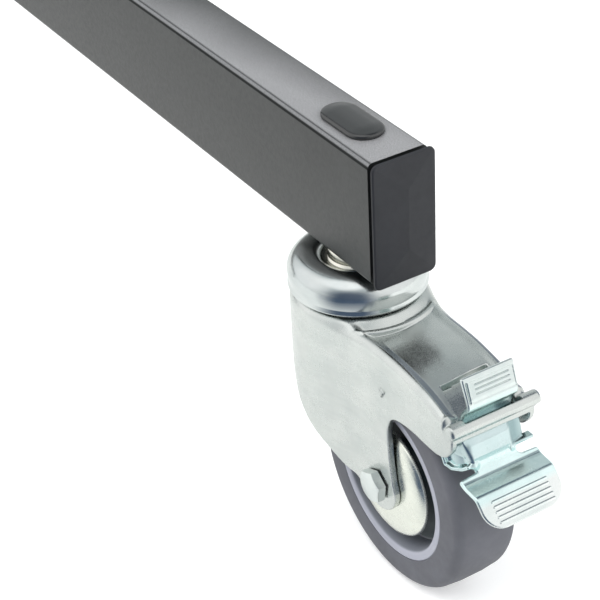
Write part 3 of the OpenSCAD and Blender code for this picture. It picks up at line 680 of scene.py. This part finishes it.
HALF = WHEEL_W / 2
tread_profile = mirrored([(37.2, -HALF), (37.9, -HALF - 0.2), (43.5, -HALF - 0.15)]
    + arc(WHEEL_R - 5.2, -HALF + 4.6, 4.75, -90, -14, 10)
    + [(WHEEL_R - 0.25, -HALF + 7.5), (WHEEL_R, -5)])
tread_mesh = Builder().turned(tread_profile, AXLE, n=160).mesh("tread", TREAD, 28)

wheel_profile = mirrored([(6.1, -HALF + 0.4), (11.6, -HALF + 0.4), (12.0, -HALF + 0.8), (12.6, -5),
    (14, -3.2), (29, -3.2), (31.6, -5), (32.9, -HALF + 1.4), (33.4, -HALF + 0.5), (34.2, -HALF), (36.8, -HALF),
    (37.15, -HALF + 0.3)])
wheel_mesh = Builder().turned(wheel_profile, AXLE, n=160).mesh("wheel_centre", WHEEL, 35)

guards = Builder()
for side in (1, -1):
    flip = Matrix.Diagonal((1, 1, side, 1))
    guards.turned([(6.1, 16.0), (6.1, 16.92), (10.5, 16.92), (13.5, 16.7), (20, 16.4), (24.0, 15.9),
        (25.7, 14.9), (26.5, 13.6), (26.4, 13.1), (25.9, 13.2), (24.9, 14.2), (23.4, 15.0), (19.8, 15.4),
        (13.3, 15.7)], AXLE @ flip, n=128)
guard_mesh = guards.mesh("thread_guards", ZINC_GUARD, 50)

AXLE_FACE = AXLE @ Matrix.Translation((0, 0, FORK_HALF)) @ Matrix.Rotation(math.radians(-7), 4, "Z")
bolt = Builder()
bolt.hexagon(13, 4.0, AXLE_FACE @ Matrix.Translation((0, 0, 0.7)), chamfer=0.95)
bolt.turned([(6.0, -20.8), (6.0, -20.0)], AXLE, n=48, closed=False)
bolt.turned([(3.95, -26.5), (3.95, 20.05)], AXLE, n=48, closed=False)
bolt_mesh = bolt.mesh("axle_bolt", ZINC_BOLT, 30)
nut = Builder()
nut.hexagon(13, 6.4, AXLE @ Matrix.Translation((0, 0, -FORK_HALF - 6.45)), both=True)
nut.turned([(3.95, -28.4), (3.95, -26.4)], AXLE, n=48, closed=False)
nut_mesh = nut.mesh("axle_nut", ZINC_BOLT, 30)
PIN = Matrix.Translation((PIN_X, 0, PIN_Z)) @ Matrix.Rotation(math.pi / 2, 4, "X")
pin = Builder().turned(mirrored([(2.0, -19.7), (2.45, -19.2)]), PIN, n=48, closed=False)
pin_mesh = pin.mesh("lever_pin", ZINC_BOLT, 40)


# Castor: brake lever and shoe

LEVER_T = 2.0
RIM = [(82.6, -50.6), (84.4, -53.7), (87.6, -54.3), (92.4, -52.4), (95.2, -50.0)]
TAB = bent([(NOSE_X - 5.6, -13.5), (NOSE_X - 2.6, -21.2), (NOSE_X - 1.6, -24.8), (NOSE_X - 4.6, -28.4),
    (PIN_X + 2.9, PIN_Z + 3.6)], 2.6)
PEDAL = bent(bent([(92.3, -42.2), (96.4, -55.0), (AXLE_X + 66.0, -56.0)], 6.5)[:-1]
    + [(AXLE_X + 66.0, -56.0), (AXLE_X + 75.9, -66.4)], 3.2)
PEDAL_RUN = sum(math.dist(a, b) for a, b in zip(PEDAL, PEDAL[1:]))
# Blank of the pedal: distance from its foot against y, with the neck, the fillet and the rounded foot
BLANK = ([(48, -11.9), (31.5, -11.3), (25.6, -10.5)] + arc(24.0, -17.7, 1.2, 270, 360, 4)[::-1]
    + [(16, -18.9)] + arc(8.9, -10.1, 8.7, -90, -176, 10) + arc(8.9, 10.1, 8.7, 176, 90, 10) + [(16, 18.9)]
    + arc(24.2, 17.7, 1.2, 90, 0, 4) + [(25.6, 12.5)] + arc(28.4, 12.3, 2.9, 180, 262, 6)
    + [(31.5, 6.9), (48, 5.9)])


def front_x(z):
    """Front face of the lever under the fork's lip."""
    return 92.7 + (-40 - z) * 0.324


def lever_field(x, y, z):
    """Bent strip: release tab with three lines, pin barrel, body, ear and ribbed pedal."""
    wide = np.abs(y)
    d, run, side = path_distance(x, z, TAB)
    front = side > 0
    frame_in = step(run, 1.2, 1.5) * (1 - step(run, 9.6, 10.2)) * (1 - step(np.abs(y - 0.9), 10.1, 10.5))
    lines = sum(bell(run, at, 0.28) for at in (3.0, 4.9, 6.8)) * (1 - step(np.abs(y - 0.9), 7.8, 8.3))
    border = bell(y, -10.7, 0.35) * step(run, 0.8, 1.4) * (1 - step(run, 9.4, 10.2))
    tab = d - LEVER_T / 2 + (0.2 * frame_in + 0.5 * lines + 0.7 * border) * front
    tab = smooth_max(tab, wide - np.interp(run, [0, 11, 22], [12.2, 11.8, 12.2]), 0.6)
    barrel = np.abs(np.sqrt((x - PIN_X) ** 2 + (z - PIN_Z) ** 2) - 3.55) - 0.95
    barrel = smooth_max(barrel, wide - 14.5, 0.5)
    # Body: a channel with a flat front and a facet on each side of it, the right one the broader
    face = (x - front_x(z)) * 0.951
    left = (x - front_x(z)) * 0.373 - (y - np.interp(z, [-54, -47.8, -39.6], [-11.0, -11.4, -14.4])) * 0.928
    right = (x - front_x(z)) * 0.97 + (y - 6.6) * 0.24
    body = smooth_max(smooth_max(smooth_max(face, left, 0.7), right, 1.0), wide - 15.0, 1.5)
    body = smooth_max(body, z - PIN_Z - 1.5, 1.5)
    wall = np.maximum(body, -(body + LEVER_T))
    # Foot of the walls: rounded on the left, cut short on the right and behind the pedal's neck
    foot = np.interp(x, [82, 84.4, 87.4, 95.6], [-50.5, -53.4, -53.8, -48.6])
    foot = np.where(y > 5.5, np.interp(wide, [13, 15], [-48.8, -46.5]), foot)
    foot = np.where((y > -11) & (y < 6.5) & (x > 90), -46.5, foot)
    wall = smooth_max(wall, np.maximum(foot - z, PIN_X - 1 - x), 0.5)
    d, run, side = path_distance(x, z, RIM)
    rim = smooth_max(d - 0.8, np.abs(y + np.interp(x, [84, 95], [15.3, 12.4])) - 1.9, 0.6)
    # Pedal: bent strip cut to its blank, pressed ribs near the foot
    d, run, side = path_distance(x, z, PEDAL)
    tail = PEDAL_RUN - run
    ribs = sum(bell(tail, 2.9 + 2.1 * k, 0.42) for k in range(5)) * (1 - step(wide, 13.0, 13.6))
    pedal = d - LEVER_T / 2 - 0.36 * ribs * (side > 0)
    pedal = smooth_max(pedal, outline_distance(tail, y, BLANK), 0.8)
    ear = smooth_max(np.maximum(np.abs(x - 93.7) - 1.8, np.abs(y - 12) - 6), np.abs(z + 48.6) - 0.8, 0.5)
    made = smooth_min(smooth_min(wall, barrel, 1.0), smooth_min(tab, rim, 0.2), 0.7)
    made = smooth_min(smooth_min(made, pedal, 3.0), ear, 0.5)
    return np.maximum(made, 2.56 - np.sqrt((x - PIN_X) ** 2 + (z - PIN_Z) ** 2))


lever_mesh = field_mesh("brake_lever", lever_field, (78, -20.4, -70), (120, 20.4, -11), 0.36, ZINC_LEVER)


for i in LEGS:
    here, root, p = castor_matrix(i), "root", f"castor_{i}_"
    put(p + "head_pressing", head_mesh, here, root, "zinc_plate", p + "head")
    put(p + "kingpin_turned", kingpin_mesh, here, root, "zinc_plate", p + "kingpin")
    put(p + "fork_pressing", fork_mesh, here, p + "swivel", "zinc_plate", p + "fork")
    put(p + "bolt_head", bolt_mesh, here, p + "swivel", "zinc_fasteners", p + "axle_bolt")
    put(p + "nut_hexagon", nut_mesh, here, p + "swivel", "zinc_fasteners", p + "axle_nut")
    put(p + "guard_discs", guard_mesh, here, p + "swivel", "zinc_plate", p + "thread_guards")
    put(p + "pin_flush", pin_mesh, here, p + "swivel", "zinc_fasteners", p + "lever_pin")
    put(p + "tread_ring", tread_mesh, here, p + "wheel", "tread_rubber", p + "tread")
    put(p + "rim_moulding", wheel_mesh, here, p + "wheel", "wheel_plastic", p + "wheel_centre")
    put(p + "lever_pressing", lever_mesh, here, p + "brake", "zinc_plate", p + "brake_lever")
    for part, material in (("ball_race", STEEL), ("axle_sleeve", STEEL), ("brake_shoe", ZINC_BOLT)):
        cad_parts[p + part].data.materials.clear()
        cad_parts[p + part].data.materials.append(material)


# Legs, caps and plugs

START, END = COLUMN_R + 1, LEG_REACH - 5.4
FACE_X = LEG_REACH - 0.95
CORNER = 11
HIP_Y = 1.2


def along_leg(x, outline):
    """Outline set across leg 1 at x."""
    return [(x, y, LEG_Z + LEG_H / 2 + z) for y, z in outline]


outer, inner = rounded_box(LEG_H, LEG_W, 2.6, 10), rounded_box(LEG_H - 4, LEG_W - 4, 1.2, 10)
soft = rounded_box(LEG_H - 0.5, LEG_W - 0.5, 2.4, 10)
leg = Builder()
stations = list(np.linspace(START + 0.3, END, 24))
leg.loft([along_leg(START, soft)] + [along_leg(x, outer) for x in stations]
    + [along_leg(END, inner), along_leg(START, inner)], closed=True)
leg_mesh = leg.mesh("leg", COAT, 30)

cap = Builder()
cap_rings = []
for x, grow, r in ((END - 1, -2.0, 2.0), (END + 3.1, -2.0, 2.0), (END + 3.15, CAP_PROUD - 0.3, 3.0),
        (END + 3.3, CAP_PROUD, 3.1), (FACE_X - 0.4, CAP_PROUD - 0.12, 3.0),
        (FACE_X - 0.12, CAP_PROUD - 0.42, 2.8), (FACE_X, CAP_PROUD - 0.85, 2.6)):
    cap_rings.append(along_leg(x, rounded_box(LEG_H + 2 * grow, LEG_W + 2 * grow, r, 10)))
cap.loft(cap_rings, caps=False)
# Shallow hipped face: four flat facets that meet in an upright ridge. The rim has CORNER points at each
# corner, and a facet runs from the middle of one corner to the middle of the next
rim_line = cap_rings[-1]
hip = LEG_H / 2 - LEG_W / 2
peaks = [(LEG_REACH - 0.02, HIP_Y, LEG_Z + LEG_H / 2 + s * hip) for s in (1, -1)]
for quarter, ends in ((3, (0, 1)), (0, (0,)), (1, (1, 0)), (2, (1,))):
    first = CORNER // 2 + quarter * CORNER
    facet = [rim_line[k % len(rim_line)] for k in range(first, first + CORNER + 1)] + [peaks[k] for k in ends]
    cap.faces.append(tuple(range(len(cap.points), len(cap.points) + len(facet))))
    cap.points.extend(facet)
insert = rounded_box(LEG_H - 5.2, LEG_W - 5.2, 1.4, 6)
rib = rounded_box(LEG_H - 4.3, LEG_W - 4.3, 1.4, 6)
rings = [along_leg(END + 0.1, insert)]
for k in range(4):
    x = END - 2 - 3.2 * k
    rings += [along_leg(x, insert), along_leg(x - 0.2, rib)]
    rings += [along_leg(x - 0.8, rib), along_leg(x - 1.3, insert)]
cap.loft(rings + [along_leg(END - 14, insert)])
cap_mesh = cap.mesh("end_cap", CAP, 30)


PLUG_L, PLUG_W = 33.0, 16.6


def stadium(l, w, n=24):
    """Outline with two straight sides and two round ends."""
    a = (l - w) / 2
    return arc(a, 0, w / 2, -90, 90, n) + arc(-a, 0, w / 2, 90, 270, n)


def plug_rings(levels):
    """Rings of the plug from pairs of inset and height over the leg."""
    rings = []
    for d, z in levels:
        shape = stadium(PLUG_L - 2 * d, PLUG_W - 2 * d)
        rings.append([(CASTOR_R + x, y, LEG_Z + LEG_H + z) for x, y in shape])
    return rings


plug = Builder()
plug.loft(plug_rings([(1.0, -0.2), (0.9, 0.05), (0.1, 0.3), (0, 0.7), (0, 1.3), (0.25, 1.75), (0.9, 2.15),
    (1.8, 2.35), (2.6, 2.45), (4.0, 2.75), (5.6, 2.95), (7.4, 3.0)]))
plug.loft(plug_rings([(3.2, 0.1), (3.2, -2), (2.6, -2.4), (2.6, -3), (3.6, -5)]))
plug_mesh = plug.mesh("hole_plug", PLUG, 50)

stem = Builder()
stem.hexagon(18, 7.4, Matrix.Translation((0, 0, -33.2)), both=True)
stem.turned([(5.95, -26), (5.95, 16)], n=48, closed=False)
stem_mesh = stem.mesh("stem_bolt", ZINC_BOLT, 30)

for i in LEGS:
    at = leg_matrix(i)
    put(f"leg_{i}_tube", leg_mesh, at, "root", "black_powder_coat", f"leg_{i}")
    put(f"leg_{i}_cap", cap_mesh, at, "root", "cap_plastic", "end_caps")
    put(f"leg_{i}_plug", plug_mesh, at, "root", "plug_rubber", "hole_plugs")
    put(f"leg_{i}_stem_bolt", stem_mesh, castor_matrix(i), "root", "zinc_fasteners", "stem_bolts")
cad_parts["stem_nuts"].data.materials.clear()
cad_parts["stem_nuts"].data.materials.append(ZINC_BOLT)


# Hub and column

BOLT_OUT, BOLT_IN = 92, 52
ARM_R, ARM_W, WEB_R = BOLT_OUT + 16.0, LEG_W + 12, COLUMN_R + 35
PLATE_T = 5
TOP = LEG_Z + LEG_H


def spun(point, turn):
    """Point turned about the column by an angle in radians."""
    x, y = point
    return (x * math.cos(turn) - y * math.sin(turn), x * math.sin(turn) + y * math.cos(turn))


hub_outline = []
for k in range(3):
    arm = arc(ARM_R - 8, -ARM_W / 2 + 8, 8, -90, 0, 8) + arc(ARM_R - 8, ARM_W / 2 - 8, 8, 0, 90, 8)
    web = (WEB_R * math.cos(math.pi / 3), WEB_R * math.sin(math.pi / 3))
    arm += bent([arm[-1], web, spun(arm[0], TAU / 3)], 12, 8)[1:-1]
    hub_outline += [spun(point, math.radians(120 * k)) for point in arm]


def plate(z0, edge=0.8):
    """Hub plate from z0 up, with its edges broken."""
    z1, small = z0 + PLATE_T, inset(hub_outline, edge)
    stack = ((small, z0), (hub_outline, z0 + edge), (hub_outline, z1 - edge), (small, z1))
    return Builder().loft([[(x, y, z) for x, y in shape] for shape, z in stack])


put("hub_plate_upper", plate(TOP).mesh("hub_top", COAT, 30), COLUMN, "root", "black_powder_coat",
    "hub_top_plate")
put("hub_plate_lower", plate(LEG_Z - PLATE_T).mesh("hub_bottom", COAT, 30), COLUMN, "root",
    "black_powder_coat", "hub_bottom_plate")
bolts = Builder()
washer = [(5.3, 0), (9.6, 0), (10, 0.3), (10, 1.4), (9.6, 1.7), (5.3, 1.7)]
for k in range(3):
    for r in (BOLT_OUT, BOLT_IN):
        at = Matrix.Rotation(TAU * k / 3, 4, "Z") @ Matrix.Translation((r, 0, 0))
        bolts.turned([(radius, TOP + PLATE_T + z) for radius, z in washer], at, n=48)
        bolts.hexagon(17, 4.8, at @ Matrix.Translation((0, 0, TOP + 6.6)))
        bolts.turned([(4.95, LEG_Z - 16.8), (4.95, TOP + 6)], at, n=40, closed=False)
        bolts.hexagon(17, 7.9, at @ Matrix.Translation((0, 0, LEG_Z - 13)), both=True)
put("hub_bolt_set", bolts.mesh("hub_bolts", ZINC_BOLT, 30), COLUMN, "root", "zinc_fasteners", "hub_bolts")


def tube(z0, z1, r, wall, edge=0.5):
    """Round tube with broken edges."""
    return Builder().turned([(r - wall + edge, z0), (r - edge, z0), (r, z0 + edge)]
        + [(r, z0 + (z1 - z0) * t) for t in (0.25, 0.5, 0.75)]
        + [(r, z1 - edge), (r - edge, z1)]
        + [(r - wall + edge, z1), (r - wall, z1 - edge), (r - wall, z0 + edge)], n=96)


def size(node):
    """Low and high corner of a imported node, in millimetres."""
    a, b = (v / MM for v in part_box(node))
    return a, b


WALL = 2.5
a, b = size("column_tube")
put("column_tube_coated", tube(a.z, b.z, COLUMN_R, WALL).mesh("column_tube", COAT, 30), COLUMN, "root",
    "black_powder_coat", "column_tube")
riser_r = {}
for node in ("riser_1", "riser_2"):
    a, b = size(node)
    riser_r[node] = (b.y - a.y) / 2
    put(node + "_tube", tube(a.z, b.z, riser_r[node], WALL).mesh(node, CHROME, 30), COLUMN, node,
        "chromed_tube", node)


def collar_mesh(node, outer_r, inner_r):
    """Cast collar: two stepped barrels, a groove round the lower one and a screw boss with a fillet at its
    root.
    """
    a, b = size(node)
    foot, top = a.z, b.z
    boss_z = top - (top - foot) / 4
    boss_end = outer_r + 14

    def field(x, y, z):
        rho = np.sqrt(x * x + y * y)
        lower = smooth_max(rho - outer_r - 4, np.abs(z - (foot + top - 3) / 2) - (top - 3 - foot) / 2, 1.6)
        upper = smooth_max(rho - outer_r - 2.5, np.abs(z - (foot + 4 + top) / 2) - (top - foot - 4) / 2, 1.2)
        groove = np.sqrt((rho - outer_r - 4.3) ** 2 + (z - foot - 8) ** 2) - 1.1
        boss = smooth_max(np.sqrt(y * y + (z - boss_z) ** 2) - 11, np.maximum(x - boss_end, -x), 1.4)
        body = smooth_min(np.minimum(lower, upper), boss, 3.0)
        body = smooth_max(body, -groove, 0.5)
        body = smooth_max(body, inner_r + 0.1 - rho, 0.6)
        return np.maximum(body, np.maximum(outer_r + 0.05 - rho, z - (foot + top) / 2))

    r = outer_r + 5
    return field_mesh(node, field, (-r, -r, foot - 1), (boss_end + 1, r, top + 1), 0.95, CAST)


def knob_mesh(node):
    """Locking handle: screw, turned hub and a cross bar that swells into ball ends."""
    a, b = size(node)
    middle = (a.z + b.z) / 2
    end = b.x - BASE_X
    start = end - 19
    turn = Matrix.Translation((0, 0, middle)) @ Matrix.Rotation(math.pi / 2, 4, "Y")
    made = Builder()
    tip = a.x - BASE_X
    made.turned([(3.6, tip), (4.9, tip + 1.3), (4.9, start + 0.2)], turn, n=48, closed=False)
    made.turned([(6.5, start), (8.1, start + 0.1), (8.5, start + 0.6), (8.5, start + 14.8),
        (8.0, start + 15.9), (6.8, start + 16.6), (6.3, start + 17.2), (6.3, start + 18.2),
        (5.8, start + 18.9), (4, start + 19)], turn, n=64, closed=False)
    bar = Matrix.Translation((start + 9, 0, middle)) @ Matrix.Rotation(math.pi / 2, 4, "X")
    half = (b.y - a.y) / 2
    ball_r = 6.98
    ball = half - 7
    turns = [math.radians(t) for t in range(4, 140, 8)]
    end_ball = [(ball_r * math.sin(t), -ball - ball_r * math.cos(t)) for t in turns]
    neck = [(4.3, -ball + 6.4), (4.0, -ball + 8), (3.9, -12), (4.6, -9.5)]
    made.turned(mirrored(end_ball + neck), bar, n=48, closed=False)
    return made.mesh(node, KNOB, 40)


put("column_collar_cast", collar_mesh("column_collar", COLUMN_R, riser_r["riser_1"]), COLUMN, "root",
    "cast_black", "column_collar")
put("riser_collar_cast", collar_mesh("riser_collar", riser_r["riser_1"], riser_r["riser_2"]), COLUMN,
    "riser_1", "cast_black", "riser_collar")
for node in ("column_knob", "riser_knob"):
    put(node + "_bar", knob_mesh(node), COLUMN, node, "knob_black", node)

SPIGOT_H = 59.49
a, b = size("spigot")
foot = b.z - SPIGOT_H
# Plug inside the riser, collar, neck and the grooved stud, as radius and height over the riser's end
spigot_profile = [(2, -40), (14.3, -40), (14.3, 0), (16.4, 0), (17, 0.6), (17, 7.2), (16.2, 8), (11.6, 8.2),
    (11, 8.8), (11, 13.2), (10.4, 13.9), (8.3, 14), (8, 14.4), (8, 34), (7.3, 34.8), (7.3, 42), (8, 42.8),
    (8, 57.8), (6.6, 59.3), (2, 59.4)]
spigot = Builder().turned([(r, foot + z) for r, z in spigot_profile], n=96, closed=False)
put("spigot_turned", spigot.mesh("spigot", SPIGOT, 30), COLUMN, "riser_2", "spigot_steel", "spigot")


# Floor, light and camera

SPREAD = 9000
floor_points = [(-SPREAD, -SPREAD, 0), (SPREAD, -SPREAD, 0), (SPREAD, SPREAD, 0), (-SPREAD, SPREAD, 0)]
n = Shader("floor_paper")
light_path = n.new("ShaderNodeLightPath")
glossy = light_path.outputs["Is Glossy Ray"]
seen = n.math("MAXIMUM", light_path.outputs["Is Camera Ray"], glossy)
seen = n.math("MAXIMUM", seen, light_path.outputs["Is Transmission Ray"])
# Mirror rays meet a dark stretch of studio floor on one side, which gives the zinc its dark bands
offset = n.new("ShaderNodeVectorMath", operation="SUBTRACT")
n.link(n.new("ShaderNodeNewGeometry").outputs["Position"], offset.inputs[0])
offset.inputs[1].default_value = ((BASE_X + CASTOR_R) * MM, 0, 0)
reach = n.new("ShaderNodeVectorMath", operation="LENGTH")
n.link(offset.outputs["Vector"], reach.inputs[0])
aim = n.new("ShaderNodeVectorMath", operation="DOT_PRODUCT")
n.link(offset.outputs["Vector"], aim.inputs[0])
aim.inputs[1].default_value = (0.69, -0.72, 0)
sector = n.ramp(n.math("DIVIDE", aim.outputs["Value"], reach.outputs["Value"]), [(0.55, 0.0), (0.92, 1.0)])
beyond = n.ramp(reach.outputs["Value"], [(0.06, 0.0), (0.24, 1.0)])
dim = n.times(n.times(sector, beyond), glossy)
seen_tone = n.mix(glossy, (0.80, 0.80, 0.80), (0.62, 0.625, 0.61))
n.done(n.mix(dim, seen_tone, (0.06, 0.085, 0.13)), 0.9, None, specular_ior_level=0.0)
n.shader.inputs["Emission Color"].default_value = (1, 1, 1, 1)
glow = n.times(seen, 0.32)
n.link(n.times(glow, n.math("SUBTRACT", 1.0, dim)), n.shader.inputs["Emission Strength"])
floor = bpy.data.objects.new("floor", make_mesh("floor", floor_points, [(0, 1, 2, 3)], n.material))
bpy.context.scene.collection.objects.link(floor)

world = bpy.data.worlds.new("studio")
bpy.context.scene.world = world
world.use_nodes = True
n = Nodes(world.node_tree)
sky = n.new("ShaderNodeTexCoord").outputs["Generated"]


def lobe(color, azimuth, elevation, inner, outer, tint):
    """Soft-edged patch of the studio in one fixed direction, between two angles in degrees."""
    a, e = math.radians(azimuth), math.radians(elevation)
    towards = Vector((math.cos(e) * math.cos(a), math.cos(e) * math.sin(a), math.sin(e)))
    dot = n.new("ShaderNodeVectorMath", operation="DOT_PRODUCT")
    dot.inputs[1].default_value = towards.normalized()
    n.link(sky, dot.inputs[0])
    span = n.new("ShaderNodeMapRange", interpolation_type="SMOOTHSTEP")
    span.inputs["From Min"].default_value = math.cos(math.radians(outer))
    span.inputs["From Max"].default_value = math.cos(math.radians(inner))
    n.link(dot.outputs["Value"], span.inputs["Value"])
    return n.mix(span.outputs["Result"], color, tint)


# The studio that the zinc mirrors: paler towards the horizon, with three bright patches and two dark ones
studio = n.ramp(n.parts(sky)["Z"], [(0.0, (0.92, 0.94, 0.93)), (0.2, (0.76, 0.79, 0.80)),
    (0.52, (0.68, 0.72, 0.73)), (0.85, (0.58, 0.63, 0.64))])
studio = lobe(studio, -130, 28, 18, 46, (1.20, 1.20, 1.20))
studio = lobe(studio, 34, 32, 26, 47, (1.12, 1.12, 1.12))
studio = lobe(studio, 104, 66, 6, 17, (0.06, 0.08, 0.12))
studio = lobe(studio, -80, 72, 16, 34, (1.38, 1.38, 1.38))
studio = lobe(studio, -46, 8, 16, 44, (0.10, 0.13, 0.19))
white_behind = n.mix(n.new("ShaderNodeLightPath").outputs["Is Camera Ray"], studio, (1, 1, 1))
background = n.tree.nodes["Background"]
n.link(white_behind, background.inputs["Color"])
background.inputs["Strength"].default_value = 1.0


def soft_light(name, at, aim, wide, high, watts):
    """Rectangular lamp that the zinc does not mirror."""
    lamp = bpy.data.lights.new(name, "AREA")
    lamp.shape, lamp.size, lamp.size_y = "RECTANGLE", wide, high
    lamp.energy = watts
    thing = bpy.data.objects.new(name, lamp)
    bpy.context.scene.collection.objects.link(thing)
    thing.location = at
    thing.rotation_euler = (Vector(aim) - Vector(at)).to_track_quat("-Z", "Y").to_euler()
    thing.visible_glossy = False


# Place and aim in metres, width, height, watts
soft_light("key", (0.9, -0.9, 2.2), (0.3, 0, 0.2), 1.5, 1.5, 25)
soft_light("front", (1.9, 1.0, 1.3), (0.35, 0, 0.1), 1.2, 1.4, 20)
soft_light("rim", (-1.6, 1.8, 1.6), (0, 0, 0.4), 1.4, 1.4, 6)
soft_light("strip", (-1.0, -1.1, 0.92), (0.33, 0, 0.12), 0.25, 1.2, 6)

# Camera fitted to the photograph: focal length and width in its pixels, angles in degrees, place in
# millimetres from the swivel axis and the underside of leg 1
FOCAL_PX, PHOTO_PX, SENSOR = 1792.461, 600, 36
YAW, PITCH, ROLL = 149.793, 33.685, -3.345
EYE_X, EYE_Y, EYE_Z = 528.40, -336.247, 389.87
camera = bpy.data.objects.new("camera", bpy.data.cameras.new("camera"))
bpy.context.scene.collection.objects.link(camera)
camera.data.sensor_width = SENSOR
camera.data.lens = FOCAL_PX / PHOTO_PX * SENSOR
camera.data.clip_start, camera.data.clip_end = 0.01, 50
yaw, pitch, roll = (math.radians(v) for v in (YAW, PITCH, ROLL))
ahead = Vector((math.cos(pitch) * math.cos(yaw), math.cos(pitch) * math.sin(yaw), -math.sin(pitch)))
side = ahead.cross(Vector((0, 0, 1))).normalized()
up = side.cross(ahead)
right = side * math.cos(roll) + up * math.sin(roll)
over = up * math.cos(roll) - side * math.sin(roll)
eye = Vector((BASE_X + CASTOR_R + EYE_X, EYE_Y, LEG_Z + EYE_Z)) * MM
camera.matrix_world = Matrix((
    (right.x, over.x, -ahead.x, eye.x),
    (right.y, over.y, -ahead.y, eye.y),
    (right.z, over.z, -ahead.z, eye.z),
    (0, 0, 0, 1)))
bpy.context.scene.camera = camera
bpy.context.scene.view_settings.view_transform = "Standard"
